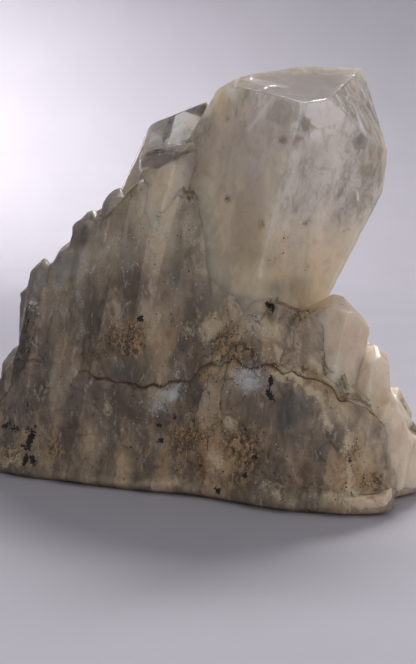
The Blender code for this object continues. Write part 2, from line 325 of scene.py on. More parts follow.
MELT_ROUNDS = 5
MELTED_EDGE = 40.0  # degrees from which an edge of a melted piece is crisp
CRISP_EDGE = 11.0  # the same on the other crystals
EDGE_REACH = 0.0016  # how far from an edge its field reaches
CRYSTAL_WANDER = 0.22  # share of the marks' warp on the crystals

# Marks on the best side: pixel across and down, half width and half height (pixels), turn
# (degrees clockwise) and strength.
MARKS = {
    "warm": (
        (110, 345, 60, 26, 0, 0.8), (215, 345, 60, 34, 0, 0.9), (60, 440, 40, 30, 0, 0.7),
        (210, 450, 70, 44, 0, 1.0),
        (350, 470, 34, 36, 0, 0.9), (330, 390, 40, 14, 30, 0.8), (285, 260, 60, 30, 0, 0.35),
        (140, 460, 40, 24, 0, 0.7),
        (20, 440, 20, 24, 0, 0.8), (300, 480, 40, 18, 0, 0.6),
    ),
    "rust": (
        (124, 337, 26, 14, -20, 0.85), (132, 350, 16, 10, 0, 0.8), (100, 355, 9, 12, 20, 0.55),
        (52, 449, 11, 8, 10, 0.75), (10, 455, 13, 7, 10, 0.8), (37, 389, 2, 6, 10, 0.6),
        (38, 413, 2, 6, 0, 0.6),
        (84, 446, 4, 26, 12, 0.4), (107, 456, 5, 20, 22, 0.35), (124, 420, 6, 6, 0, 0.5),
        (148, 455, 8, 5, -20, 0.45), (190, 436, 24, 22, -25, 0.75), (200, 462, 4, 24, 0, 0.7),
        (178, 470, 22, 10, 0, 0.4), (231, 350, 17, 13, -30, 0.95), (222, 341, 10, 8, 0, 0.8),
        (247, 352, 4, 13, -22, 0.95), (230, 330, 6, 14, 30, 0.85), (204, 374, 14, 6, 0, 0.75),
        (222, 378, 12, 10, 0, 0.55), (240, 440, 16, 20, 20, 0.8), (250, 458, 16, 18, 0, 0.9),
        (240, 482, 22, 10, 0, 0.6), (222, 424, 12, 12, 0, 0.5), (279, 363, 8, 3, -15, 1.0),
        (307, 314, 16, 4, -22, 0.75), (322, 382, 10, 2.5, 38, 0.6), (340, 399, 12, 2.5, 30, 0.6),
        (306, 372, 14, 3, 10, 0.7), (352, 399, 10, 3, 20, 0.5), (353, 453, 6, 12, 10, 0.8),
        (371, 482, 11, 12, -20, 0.85), (300, 350, 5, 16, 0, 0.35), (352, 384, 8, 10, 0, 0.3),
        (320, 486, 24, 10, 0, 0.45), (300, 468, 10, 16, 0, 0.35), (392, 404, 8, 8, 40, 0.35),
        (178, 198, 11, 2, -6, 0.6), (189, 198, 2.5, 7, 12, 1.0), (227, 199, 4, 4, 0, 0.7),
        (262, 224, 4, 8, -10, 0.6), (305, 223, 7, 4, -30, 0.65), (233, 257, 4, 7, 10, 0.3),
        (284, 240, 22, 14, 0, 0.28), (304, 266, 14, 6, 0, 0.25), (188, 236, 3, 16, 6, 0.45),
        (206, 365, 14, 2, 0, 0.6), (146, 386, 30, 1.5, 0, 0.5), (282, 140, 4, 6, -15, 0.9),
        (293, 172, 1, 1, 0, 0.5),
    ),
    "cream": (
        (212, 328, 12, 12, 10, 0.85), (270, 330, 6, 14, -20, 0.7), (278, 354, 6, 10, -20, 0.9),
        (284, 374, 14, 8, 0, 0.95), (296, 380, 6, 6, 0, 0.8), (311, 391, 10, 4, 35, 0.95),
        (322, 399, 8, 4, 45, 0.9), (326, 418, 4, 14, -14, 0.8), (348, 444, 6, 16, -8, 0.75),
        (350, 474, 4, 18, 0, 0.9), (352, 488, 5, 8, 0, 0.8), (228, 372, 10, 6, -10, 0.6),
        (230, 424, 9, 10, -10, 0.75), (214, 462, 10, 14, 0, 0.55), (275, 490, 16, 8, 0, 0.5),
        (10, 457, 14, 8, 8, 0.8), (107, 408, 5, 9, 0, 0.45), (46, 392, 5, 12, 12, 0.5),
        (338, 496, 18, 6, 0, 0.6), (375, 501, 16, 7, -10, 0.3), (376, 400, 12, 6, 25, 0.6),
        (119, 330, 8, 16, 25, 0.45), (128, 198, 6, 12, 20, 0.4), (190, 330, 10, 10, 0, 0.4),
    ),
    # Bluish white shattered quartz and painted glints: thin bright streaks such as those at 361, 126, 362,
    # 91, 358, 197 and 365, 211, and the spot at 31, 304, are painted glints.
    "frost": (
        (169, 394, 13, 7, -28, 1.0), (158, 405, 14, 6, -40, 0.75), (180, 384, 8, 6, 0, 0.7),
        (247, 378, 17, 11, 10, 1.0), (262, 374, 8, 6, 0, 0.7), (254, 322, 12, 8, 30, 0.5),
        (266, 336, 8, 12, -20, 0.5), (178, 371, 4, 9, 10, 0.5), (131, 266, 8, 8, 0, 0.45),
        (172, 285, 4, 9, -15, 0.4), (92, 268, 13, 3, -38, 0.5), (60, 286, 8, 10, 20, 0.5),
        (31, 304, 6, 11, 10, 0.7), (78, 296, 2, 12, 0, 0.4), (104, 250, 12, 4, -40, 0.4),
        (408, 432, 4, 5, 0, 0.6), (232, 94, 6, 8, -30, 0.95),
        (282, 452, 8, 5, 0, 0.45), (205, 420, 6, 14, -10, 0.4), (348, 466, 8, 6, 0, 0.5),
        (361, 126, 2.2, 12, -24, 0.95), (362, 91, 1.2, 9, -35, 0.9), (300, 122, 1.6, 17, 8, 0.75),
        (293, 160, 4, 20, 12, 0.6),
        (337, 178, 3, 4, 0, 0.95), (284, 206, 5, 9, 0, 0.55), (358, 197, 1.2, 4, 0, 1.0),
        (365, 211, 1.2, 7, 14, 0.9),
        (261, 112, 1.2, 20, 42, 0.8), (247, 141, 1.5, 7, 40, 0.75), (350, 160, 9, 18, 20, 0.4),
        (318, 160, 18, 26, 0, 0.3),
        (312, 206, 16, 12, 0, 0.35), (342, 212, 14, 10, -30, 0.4), (274, 140, 2, 4, 20, 0.8),
        (376, 170, 2, 14, 0, 0.5),
        (312, 388, 10, 10, 0, 0.3), (120, 240, 14, 5, -45, 0.3),
    ),
    # Glassy smoky quartz and painted shade: the row at 78, 440 is a painted shadow band left of a lighter
    # column.
    "dark": (
        (292, 412, 24, 22, 0, 0.8), (296, 440, 20, 22, 0, 0.5), (120, 370, 12, 9, 0, 0.7),
        (70, 403, 13, 13, 10, 0.65), (78, 440, 4, 34, 10, 0.6), (108, 456, 5, 20, 22, 0.55),
        (184, 350, 7, 10, 0, 0.75), (180, 280, 18, 22, 20, 0.55), (205, 300, 14, 10, 0, 0.45),
        (52, 340, 26, 30, 0, 0.35), (20, 400, 16, 26, 10, 0.35), (14, 427, 8, 6, -30, 0.8),
        (84, 236, 4, 11, 8, 1.0), (92, 218, 2.5, 4, 0, 0.9), (245, 300, 20, 8, 0, 0.45),
        (98, 300, 10, 24, 0, 0.3), (160, 430, 8, 14, 20, 0.35), (262, 305, 4, 2, 0, 0.5),
        (330, 440, 10, 24, 0, 0.3), (236, 112, 2, 9, 8, 0.7), (227, 120, 2, 4, 0, 0.8),
        (280, 286, 36, 16, 0, 0.5), (270, 262, 30, 24, 0, 0.4), (302, 128, 6, 7, 0, 0.55),
        (360, 138, 8, 6, -30, 0.7),
        (290, 118, 13, 6, -6, 0.35), (270, 436, 6, 10, 0, 0.4), (297, 207, 3, 8, 14, 0.7),
        (371, 196, 3, 36, 8, 0.45), (324, 154, 10, 3, 0, 0.4),
        (346, 231, 6, 1.5, -20, 0.6), (380, 140, 2, 20, -6, 0.4),
    ),
    # Milky quartz, and a painted bounce-light rim along the root's lower edge: the rows at 320, 500 and 150,
    # 483.
    "milk": (
        (318, 366, 12, 5, 38, 0.7), (334, 380, 12, 6, 40, 0.95), (352, 392, 14, 6, 35, 1.0),
        (372, 402, 10, 5, 25, 1.0),
        (160, 215, 34, 50, 0, 0.75), (188, 228, 13, 26, 8, 0.75), (214, 268, 16, 16, -30, 0.55),
        (120, 250, 30, 26, -30, 0.55), (128, 210, 14, 20, 0, 0.6),
        (264, 330, 20, 24, -20, 0.5), (365, 440, 18, 40, 0, 0.5), (404, 460, 14, 34, 0, 0.25),
        (150, 330, 16, 30, 0, 0.3), (62, 400, 12, 24, 12, 0.35), (92, 440, 12, 34, 14, 0.4),
        (122, 462, 12, 26, 14, 0.4), (320, 500, 60, 8, 2, 0.5), (150, 483, 90, 5, 5, 0.5),
        (230, 384, 26, 14, 0, 0.35), (160, 400, 26, 14, 0, 0.4), (340, 412, 20, 18, 0, 0.5),
        (400, 425, 12, 14, 0, 0.2), (214, 290, 20, 14, 0, 0.35),
    ),
    "black": (
        (30, 440, 3.2, 11, 18, 1.0), (27, 430, 2.5, 5, 0, 0.7), (25, 460, 2, 6, 20, 1.0),
        (32, 461, 2.2, 6, -14, 1.0),
        (22, 446, 3, 1.6, 20, 0.9), (6, 425, 5, 1.8, -40, 0.9), (15, 428, 5, 4, -20, 0.6),
        (27, 405, 1.6, 6, 4, 0.7), (269, 306, 4, 2.6, 25, 1.0), (274, 309, 1.8, 4, 10, 0.9),
        (270, 381, 2.2, 6, 8, 1.0), (270, 394, 2.2, 6, -24, 1.0), (218, 490, 3.6, 3, 20, 0.9),
        (159, 441, 2.2, 3.6, 30, 0.9), (159, 424, 2.2, 2.8, 20, 0.85), (256, 458, 3.5, 3.2, 0, 0.8),
        (246, 476, 2.4, 3.4, 20, 0.9), (174, 417, 1.6, 3, -10, 0.8), (140, 318, 3, 3.4, -20, 0.9),
        (350, 460, 2, 2.6, 20, 0.8), (284, 496, 1.8, 3, 0, 0.8), (352, 492, 2, 2, 0, 0.7),
    ),
}
# How far the marks' outlines wander, where it isn't the full way.
MARK_WARP = {"black": 0.4, "frost": 0.7}  # share of the warp; all others take the whole of it
MARK_FALL = 0.8  # how fast a mark fades from its middle
WARPS = ((0.0052, 7.0), (0.0017, 4.0))  # size in metres, and how many pixels it shifts a mark
# Single black specks: pixel across and down, and half width (mm).
SPECKS = (
    (43, 434, 0.3), (105, 434, 0.38), (131, 447, 0.42), (92, 467, 0.36), (124, 479, 0.3), (83, 460, 0.26),
    (187, 462, 0.42), (184, 478, 0.3), (231, 409, 0.36), (214, 418, 0.34), (285, 502, 0.28), (364, 478, 0.4),
    (346, 483, 0.4), (325, 461, 0.36), (330, 441, 0.34), (355, 412, 0.22), (363, 403, 0.42), (378, 407, 0.28),
    (288, 378, 0.28), (114, 314, 0.3), (156, 314, 0.32), (171, 314, 0.32), (133, 343, 0.42), (89, 337, 0.3),
    (284, 238, 0.42), (288, 237, 0.2), (283, 253, 0.4), (269, 261, 0.3), (275, 258, 0.24), (267, 256, 0.18),
    (273, 248, 0.16), (279, 243, 0.14), (270, 266, 0.16), (305, 270, 0.26), (293, 263, 0.14),
    (227, 199, 0.34),
    (203, 295, 0.28), (212, 279, 0.18), (245, 225, 0.16), (295, 314, 0.3), (299, 336, 0.22), (314, 343, 0.26),
    (248, 340, 0.3), (232, 321, 0.36), (204, 349, 0.3), (212, 349, 0.32), (231, 359, 0.3), (226, 345, 0.26),
    (221, 352, 0.24), (240, 348, 0.26), (119, 352, 0.3), (122, 358, 0.28), (117, 345, 0.22), (128, 342, 0.22),
    (78, 388, 0.34), (66, 391, 0.24), (106, 390, 0.22), (111, 391, 0.22), (90, 378, 0.34), (121, 373, 0.24),
    (193, 412, 0.26), (163, 366, 0.2), (16, 412, 0.34), (33, 410, 0.3), (27, 420, 0.24), (60, 432, 0.2),
    (197, 431, 0.34), (199, 442, 0.3), (206, 437, 0.26), (235, 463, 0.26), (262, 472, 0.24), (298, 452, 0.24),
    (296, 460, 0.22), (303, 448, 0.2), (338, 458, 0.24), (343, 452, 0.2), (358, 469, 0.22), (368, 486, 0.24),
    (283, 489, 0.24), (318, 490, 0.24), (342, 489, 0.22), (220, 446, 0.24), (229, 456, 0.22),
    (217, 396, 0.22),
)
# How clear the crystals are: pixel across and down, half width and half height (pixels), turn, strength.
CLEAR = (
    (318, 112, 74, 50, 0, 1.0), (345, 170, 46, 54, 0, 0.9), (272, 104, 44, 34, -14, 0.85),
    (262, 140, 34, 40, 20, 0.6), (310, 180, 40, 50, 20, 0.7), (184, 124, 30, 30, 0, 1.0),
    (330, 215, 34, 24, 0, 0.4), (330, 320, 16, 14, 0, 0.25), (60, 262, 26, 12, 0, 0.6),
    (40, 274, 12, 14, 0, 0.7), (112, 196, 14, 14, 0, 0.6), (84, 218, 12, 14, 0, 0.5),
    (12, 350, 14, 20, 0, 0.4), (170, 149, 26, 12, 0, 1.0), (193, 160, 8, 18, 0, 0.5),
)


# Veils in the big point: pixel across and down, depth under the face that the pixel shows, half width
# and half height (mm), yaw, tilt and roll (degrees), bend, and density.
BIG_VEILS = (
    (338, 178, 5.0, 9.0, 12.0, 20, 10, 10, 0.4, 0.55),
    (312, 165, 8.0, 8.0, 9.0, -30, -20, 0, 0.5, 0.4),
    (352, 150, 4.0, 5.0, 9.0, 40, 0, 20, 0.3, 0.6),
    (262, 112, 1.6, 0.5, 5.4, 0, 0, 38, 0.0, 3.0),
    (248, 140, 1.8, 0.5, 2.2, 0, 0, 25, 0.0, 2.4),
    (366, 216, 1.5, 0.4, 4.6, 0, 0, 22, 0.0, 2.6),
    (362, 91, 1.5, 0.5, 2.4, 0, 0, -34, 0.0, 3.0),
    (361, 126, 2.0, 1.3, 3.4, 0, 0, -22, 0.1, 3.0),
    (337, 178, 1.6, 1.2, 1.4, 0, 0, 0, 0.1, 2.6),
    (297, 160, 2.2, 2.2, 8.0, 10, 0, 8, 0.2, 1.1),
    (285, 206, 1.6, 1.3, 2.8, 0, 0, 4, 0.1, 2.4),
    (318, 205, 3.0, 6.0, 6.0, 15, -10, 0, 0.3, 0.6),
    (250, 120, 7.0, 7.0, 12.0, -35, 0, 0, 0.4, 0.22),
    (275, 150, 9.0, 8.0, 12.0, -20, 20, 0, 0.4, 0.25),
    (330, 225, 5.0, 8.0, 6.0, 10, 20, 0, 0.3, 0.5),
    (232, 95, 0.9, 1.4, 2.4, 0, 0, 30, 0.1, 3.2),
    (355, 195, 2.2, 2.4, 5.5, 0, 0, 10, 0.2, 1.0),
)
REAR_VEILS = (
    (186, 130, 2.0, 2.6, 3.2, 20, 0, 20, 0.2, 0.6),
    (172, 130, 3.0, 2.0, 4.0, -20, 0, 30, 0.2, 0.4),
)
# Painted reflections and painted shade on the clear points' faces, laid where planes inside catch the light
# or don't: corners by pixel, reach behind the nearest face (mm), colour and strength.
BIG_PAINTED_FACET_LIGHT = (
    (
        ((303, 119), (306, 104), (316, 100), (329, 97), (347, 114), (343, 122), (318, 130)),
        8.0,
        (0.93, 0.845, 0.82),
        0.85,
    ),
    (
        ((235, 88), (240, 74), (310, 66), (358, 67), (356, 77), (330, 101), (302, 104), (268, 96)),
        9.0,
        (0.30, 0.26, 0.23),
        0.55,
    ),
    (((271, 97), (275, 98), (262, 118), (249, 132), (246, 130), (258, 113)), 8.0, (0.95, 0.91, 0.88), 0.75),
    (((275, 99), (298, 100), (302, 106), (297, 122), (282, 128), (264, 118)), 8.0, (0.36, 0.33, 0.30), 0.4),
    (((354, 109), (358, 111), (368, 134), (366, 138), (359, 127)), 8.0, (0.97, 0.94, 0.93), 0.85),
    (((355, 78), (358, 79), (368, 98), (365, 99)), 8.0, (0.97, 0.94, 0.93), 0.85),
    (((350, 141), (361, 132), (369, 139), (366, 150), (354, 150)), 8.0, (0.29, 0.28, 0.25), 0.55),
    (((299, 140), (306, 138), (301, 160), (294, 184), (284, 194), (292, 165)), 8.0, (0.90, 0.83, 0.79), 0.5),
    (((356, 190), (359, 191), (360, 202), (356, 201)), 8.0, (1.0, 0.98, 0.95), 0.95),
    (((240, 79), (252, 77), (288, 85), (291, 88), (284, 89), (262, 86)), 9.0, (0.86, 0.80, 0.79), 0.6),
    (((309, 133), (315, 128), (322, 129), (322, 135), (315, 142), (309, 138)), 8.0, (0.93, 0.88, 0.86), 0.85),
    (((300, 120), (304, 115), (312, 119), (310, 131), (301, 133)), 8.0, (0.24, 0.19, 0.15), 0.55),
)
REAR_PAINTED_FACET_LIGHT = (
    (((175, 114), (184, 110), (203, 117), (195, 136), (186, 141), (167, 145)), 9.0, (1.0, 0.95, 0.95), 1.0),
    (((187, 110), (210, 100), (213, 103), (203, 117)), 9.0, (0.11, 0.09, 0.075), 0.85),
    (((148, 131), (156, 123), (171, 115), (163, 137)), 9.0, (0.34, 0.30, 0.27), 0.6),
    (((152, 130), (163, 137), (163, 146), (146, 149)), 9.0, (0.66, 0.64, 0.67), 0.6),
)
FRONT_PAINTED_FACET_LIGHT = (
    (
        ((141, 167), (143, 157), (150, 151), (163, 150), (178, 153), (171, 162), (158, 170)),
        6.0,
        (0.15, 0.12, 0.095),
        0.7,
    ),
    (((152, 148), (194, 140), (197, 151), (178, 153), (163, 150)), 6.0, (0.40, 0.35, 0.31), 0.6),
    (
        ((178, 154), (196, 152), (201, 161), (192, 188), (186, 197), (165, 203), (168, 189), (175, 168)),
        6.0,
        (0.62, 0.585, 0.56),
        0.5,
    ),
)


def set_out(point):
    """A point of the tables, in mm, as a place in the scene."""
    return (Vector(point) + SETTING_OUT) * MM


def view_axes():
    """Eye (mm, in the tables), and the directions forward and up of the best side's view."""
    pitch = math.radians(VIEW_PITCH)
    forward = Vector((0.0, math.cos(pitch), -math.sin(pitch)))
    up = Vector((0.0, math.sin(pitch), math.cos(pitch)))
    return VIEW_TARGET - forward * VIEW_DISTANCE, forward, up


def front_view(points):
    """The pixels across and down at which points of the scene (metres) are seen from the best side."""
    eye, forward, up = view_axes()
    focal = VIEW_LENS / VIEW_SENSOR * VIEW_FRAME[1]
    away = np.asarray(points) / MM - np.array(SETTING_OUT) - np.array(eye)
    depth = away @ np.array(forward)
    across = VIEW_FRAME[0] / 2.0 + focal * away[:, 0] / depth
    down = VIEW_FRAME[1] / 2.0 - focal * (away @ np.array(up)) / depth
    return across, down


def sight_line(across, down):
    """The eye and the direction, in the scene, along which the best side's view shows a pixel."""
    eye, forward, up = view_axes()
    focal = VIEW_LENS / VIEW_SENSOR * VIEW_FRAME[1]
    right = Vector((1.0, 0.0, 0.0))
    ray = forward + right * ((across - VIEW_FRAME[0] / 2.0) / focal)
    ray -= up * ((down - VIEW_FRAME[1] / 2.0) / focal)
    return set_out(eye), ray.normalized()


def marks_at(rows, across, down):
    """How strongly these marks show at each pixel, from 0 to 1."""
    field = np.zeros(len(across))
    for mark_across, mark_down, half_width, half_height, turn, strength in rows:
        turn = math.radians(turn)
        x = across - mark_across
        y = down - mark_down
        along = (x * math.cos(turn) + y * math.sin(turn)) / half_width
        over = (y * math.cos(turn) - x * math.sin(turn)) / half_height
        field = np.maximum(field, strength * np.exp(-MARK_FALL * (along**2 + over**2)))
    return field


def smooth(low, high, value):
    """0 at low, 1 at high, eased."""
    share = np.clip((value - low) / (high - low), 0.0, 1.0)
    return share * share * (3.0 - 2.0 * share)


def lean_frame(to_right, to_back):
    """Columns x, y and axis of a crystal that leans by these degrees."""
    axis = Vector((math.tan(math.radians(to_right)), math.tan(math.radians(to_back)), 1.0)).normalized()
    x = (Vector((1.0, 0.0, 0.0)) - axis * axis.x).normalized()
    return Matrix((x, axis.cross(x), axis)).transposed()


def face_normal(lean, azimuth, slope):
    """The outward direction of a crystal's face, from its turn and its slope in degrees."""
    azimuth = math.radians(azimuth)
    slope = math.radians(slope)
    level = math.cos(slope)
    return lean @ Vector((math.sin(azimuth) * level, -math.cos(azimuth) * level, math.sin(slope)))


def crystal_planes(centre, lean, faces):
    """Outward normals and offsets (metres) of a crystal's faces."""
    turned = lean_frame(*lean)
    middle = set_out(centre)
    normals = []
    offsets = []
    for azimuth, slope, distance in faces:
        normal = face_normal(turned, azimuth, slope)
        normals.append(normal)
        offsets.append(normal.dot(middle) + distance * MM)
    return np.array(normals), np.array(offsets)


def small_point_faces(half_width, length, chance):
    """Six prism faces, three large and three small end faces, and the root, as seen from the tip."""
    faces = []
    for side in range(6):
        azimuth = FIRST_SIDE + 60.0 * side
        turned = azimuth + chance.uniform(-SIDE_WANDER, SIDE_WANDER)
        faces.append((turned, chance.uniform(*SIDE_TAPER), half_width * chance.uniform(*SIDE_WIDTH)))
        slope = CAP_SLOPE + chance.uniform(-CAP_WANDER, CAP_WANDER)
        faces.append((azimuth, slope, half_width * chance.uniform(*(SMALL_CAP if side % 2 else LARGE_CAP))))
    faces.append((0.0, -90.0, length))
    return faces


def small_point_rows():
    """The flank, right and rear points as crystals, with the same chances as the solid."""
    chance = random.Random(SMALL_POINT_SEED)
    groups = []
    for rows in (FLANK_POINTS, RIGHT_POINTS, REAR_POINTS):
        made = []
        for x, y, z, half_width, length, to_right, to_back in rows:
            faces = small_point_faces(half_width, length, chance)
            made.append(((x, y, z), (to_right, to_back), tuple(faces)))
        groups.append(tuple(made))
    return groups


FLANK_CRYSTALS, RIGHT_CRYSTALS, REAR_CRYSTALS = small_point_rows()
ALL_CRYSTALS = (
    BIG_POINT,
    FRONT_LEFT_POINT,
    REAR_LEFT_POINT,
    RIGHT_POINT,
    RIGHT_STEP,
    FLAKE,
    *FLANK_CRYSTALS,
    *RIGHT_CRYSTALS,
    *REAR_CRYSTALS,
)


def outside(crystal, points):
    """How far outside a crystal's faces each point is (metres), negative inside."""
    normals, offsets = crystal_planes(*crystal)
    return (np.asarray(points) @ normals.T - offsets).max(axis=1)


def smooth_stations(step):
    """The stations' six columns at even steps (mm) round the foot, with their corners eased."""
    rows = np.array(STATIONS + STATIONS[:1])
    runs = np.hypot(*np.diff(rows[:, :2], axis=0).T)
    way = np.concatenate(([0.0], np.cumsum(runs)))
    count = int(round(way[-1] / step))
    places = np.arange(count) * way[-1] / count
    columns = np.array([np.interp(places, way, rows[:, k]) for k in range(6)])
    reach = int(round(CORNER_EASE / step))
    weights = np.exp(-np.linspace(-2.0, 2.0, 2 * reach + 1) ** 2)
    weights /= weights.sum()
    eased = np.array([
        sum(w * np.roll(column, k - reach) for k, w in enumerate(weights)) for column in columns
    ])
    return places, eased, way


def column_relief(along, height, width=COLUMN_WIDTH, key=0.0):
    """Flat-fronted broken columns of uneven width and depth, with a groove between each two."""
    place = (along - height * math.tan(math.radians(COLUMN_LEAN))) / width
    place += COLUMN_UNEVEN * noise.noise(Vector((place / 3.0, 3.7 + key, 0.0)))
    column = math.floor(place)
    edge = min(place - column, column + 1.0 - place)
    depth = 0.5 + 0.5 * noise.noise(Vector((column * 7.3 + key, 1.3, height / 20.0)))
    return depth * min(1.0, edge / COLUMN_GROOVE)


def column_tone(along, height):
    """How much lighter a column is than the rest: a chance for each, falling off across it."""
    place = (along - height * math.tan(math.radians(COLUMN_LEAN))) / COLUMN_WIDTH
    place += COLUMN_UNEVEN * noise.noise(Vector((place / 3.0, 3.7, 0.0)))
    column = math.floor(place)
    across = place - column
    level = noise.noise(Vector((column * 5.3, 7.1, height / 16.0)))
    return level * 1.1 + 0.22 * (0.5 - across)


def chip_relief(point, size):
    """Flat chips broken off at slight angles, about -1 to 1, and how near the edge of a chip is."""
    distances, places = noise.voronoi(point / size)
    cell = places[0]
    tilt = noise.noise_vector(cell * 3.1)
    away = point / size - cell
    level = noise.noise(cell * 5.7 + Vector((9.0, 0.0, 0.0)))
    return level + away.dot(tilt) * 1.4, distances[1] - distances[0]


def way_in(crystal, place, direction):
    """How far from a place a crystal begins in a direction (metres), or None where it isn't met."""
    normals, offsets = crystal_planes(*crystal)
    speeds = normals @ np.array(direction)
    gaps = offsets - normals @ np.array(place)
    enter = max(gap / speed for gap, speed in zip(gaps, speeds) if speed < 0.0)
    leave = min(gap / speed for gap, speed in zip(gaps, speeds) if speed > 0.0)
    return enter if enter < leave else None


class BrokenWall:
    """The side of the root mass as a fine net of lines that rise from its foot."""

    def __init__(self, settings):
        fine, columns, way = smooth_stations(STATION_STEP)
        length = way[-1]
        front_end = way[FRONT_STATIONS]
        front = np.arange(0.0, front_end, settings.front_spacing / MM)
        back = np.arange(front_end, length, settings.back_spacing / MM)
        self.along = np.concatenate((front, back))
        self.columns = np.array([
            np.interp(self.along, np.append(fine, length), np.append(column, column[0])) for column in columns
        ])
        x, y = columns[0], columns[1]
        run_x = np.roll(x, -OUTWARD_STEPS) - np.roll(x, OUTWARD_STEPS)
        run_y = np.roll(y, -OUTWARD_STEPS) - np.roll(y, OUTWARD_STEPS)
        size = np.hypot(run_x, run_y)
        out_x = np.interp(self.along, fine, run_y / size)
        out_y = np.interp(self.along, fine, -run_x / size)
        size = np.hypot(out_x, out_y)
        self.out = np.stack((out_x / size, out_y / size), axis=1)
        self.settings = settings
        x = self.columns[0]
        on_front = self.along < front_end
        self.dive = settings.dive / MM * smooth(-50.0, -46.0, x) * smooth(-2.0, -6.0, x) * on_front
        self.right_dive = settings.right_dive / MM * smooth(22.0, 27.0, x) * on_front
        under_point = smooth(-23.0, -17.0, x) * smooth(-3.0, -7.0, x)
        self.point_dive = settings.point_dive / MM * under_point * on_front

    def point(self, line, height, relief, proud, raw):
        """A point (mm) of a line of the net. proud is how far it stands out of the wall, relief that of the
        columns, and raw the share of fine broken relief."""
        foot = Vector((self.columns[0][line], self.columns[1][line], 0.0))
        out = Vector((self.out[line][0], self.out[line][1], 0.0))
        along = self.along[line]
        wander = noise.noise(Vector((foot.x, foot.y, height)) / WANDER_SIZE)
        height += RING_WANDER * wander * min(1.0, (height - REST_RISE) / WANDER_SIZE)
        point = foot + Vector((0.0, 0.0, height)) - out * height * math.tan(math.radians(WALL_LEAN))
        lump = LUMP_RELIEF * noise.noise(point / LUMP_SIZE)
        lump += sum(share * noise.noise(point / size) for share, size in (MIDDLE_LUMPS, SMALL_LUMPS))
        fade = 0.5 + noise.noise(point / 11.0)
        columns = 0.62 * fade * relief * (column_relief(along, height) - 0.5)
        places = (point + Vector((0.0, 0.0, along * 0.13)), point + Vector((3.0, 0.0, 0.0)))
        broken = 0.0
        for place, (share, size), groove in zip(places, (CHIPS, SMALL_CHIPS), CHIP_GROOVES):
            chips, edge = chip_relief(place, size)
            broken += share * chips - groove * max(0.0, CHIP_GROOVE_REACH - edge) / CHIP_GROOVE_REACH
        return point + out * (lump + columns + proud + raw * broken)

    def rings(self):
        """Rings of points (mm) from the resting flat to the last before the crown, and the crack's share
        in each."""
        s = self.settings
        count = len(self.along)
        crack, crest, proud, hollow = self.columns[2:6]
        found = []
        near_crack = []
        feet = np.stack((self.columns[0], self.columns[1]), axis=1) - self.out * REST_INSET
        found.append([Vector((x, y, 0.0)) for x, y in feet])
        near_crack.append(np.zeros(count))
        jag = np.array([
            0.22 * noise.noise(Vector((a / 4.1, 5.0, 0.0))) + 0.14 * noise.noise(Vector((a / 0.8, 8.0, 0.0)))
            for a in self.along
        ])
        for share in np.linspace(0.0, 1.0, s.rings_below) ** 0.92:
            ring = []
            for line in range(count):
                height = REST_RISE + (crack[line] + jag[line] - REST_RISE) * share
                lip = 0.25 * max(0.0, share - 0.97) / 0.03
                stand = proud[line] * (1.0 - lip)
                ring.append(self.point(line, height, COLUMN_RELIEF, stand, 1.0))
            found.append(ring)
            near_crack.append(np.full(count, max(0.0, share - 0.99) / 0.012))
        for share, depth in CRACK_RINGS:
            ring = []
            for line in range(count):
                height = crack[line] + jag[line] + CRACK_GAP * share
                stand = proud[line] * (1.0 - share) - s.crack_depth / MM * depth
                ring.append(self.point(line, height, STRIA_RELIEF, stand, 0.6))
            found.append(ring)
            near_crack.append(np.ones(count))
        sink = np.zeros(count)
        for line in range(count):
            out = Vector((self.out[line][0], self.out[line][1], 0.0))
            crest_point = self.point(line, crest[line], STRIA_RELIEF, -hollow[line], 0.25)
            gap = way_in(BIG_POINT, set_out(crest_point), -out)
            if gap is not None and 0.0 < gap < s.sink_reach:
                sink[line] = gap / MM + SINK_DEPTH
        sink = np.convolve(sink, np.ones(SINK_EASE) / SINK_EASE, mode="same")
        for share in np.linspace(0.0, 1.0, s.rings_above):
            ring = []
            for line in range(count):
                low = crack[line] + jag[line] + CRACK_GAP
                height = low + (crest[line] - low) * share
                rough = 0.25 + 0.75 * max(0.0, 1.0 - (height - crack[line]) / ROUGH_RISE)
                if self.along[line] > FLANK_END:
                    rough = max(rough, 0.5)
                dive = self.dive[line] * max(0.0, (share - 0.45) / 0.55) ** 1.6
                dive += sink[line] * smooth(0.45, 1.0, share)
                dive += self.right_dive[line] * smooth(0.0, 0.1, share)
                dive += self.point_dive[line] * max(0.0, (share - 0.66) / 0.34) ** 1.3
                stand = -hollow[line] * share**2 - dive
                ring.append(self.point(line, height, STRIA_RELIEF, stand, rough))
            found.append(ring)
            near_crack.append(np.full(count, max(0.0, 0.8 - share * s.rings_above)))
        crest_ring = found[-1]
        for share in np.linspace(0.0, 1.0, s.rings_cap + 2)[1:-1]:
            ring = []
            bulge = CAP_BULGE * math.sin(share * math.pi)
            for point in crest_ring:
                inner = point.lerp(CROWN, share)
                lift = bulge * noise.noise(inner / LUMP_SIZE) + 0.4 * noise.noise(inner / 2.2)
                ring.append(inner + Vector((0.0, 0.0, lift * min(1.0, share * 6.0))))
            found.append(ring)
            near_crack.append(np.zeros(count))
        return found, near_crack


def closed_loft(rings, crown):
    """Vertices and faces of a solid from rings of equal count, flat below and closed at the crown."""
    count = len(rings[0])
    points = [point for ring in rings for point in ring]
    faces = [tuple(reversed(range(count)))]
    for level in range(len(rings) - 1):
        low = level * count
        high = low + count
        for i in range(count):
            after = (i + 1) % count
            faces.append((low + i, low + after, high + after, high + i))
    top = len(points)
    points.append(crown)
    last = (len(rings) - 1) * count
    faces += [(last + i, last + (i + 1) % count, top) for i in range(count)]
    return points, faces


def vertex_array(mesh, what="co"):
    """Places or normals of a mesh's vertices, a row for each."""
    values = np.zeros(len(mesh.vertices) * 3, np.float32)
    mesh.vertices.foreach_get(what, values)
    return values.reshape(-1, 3).astype(float)


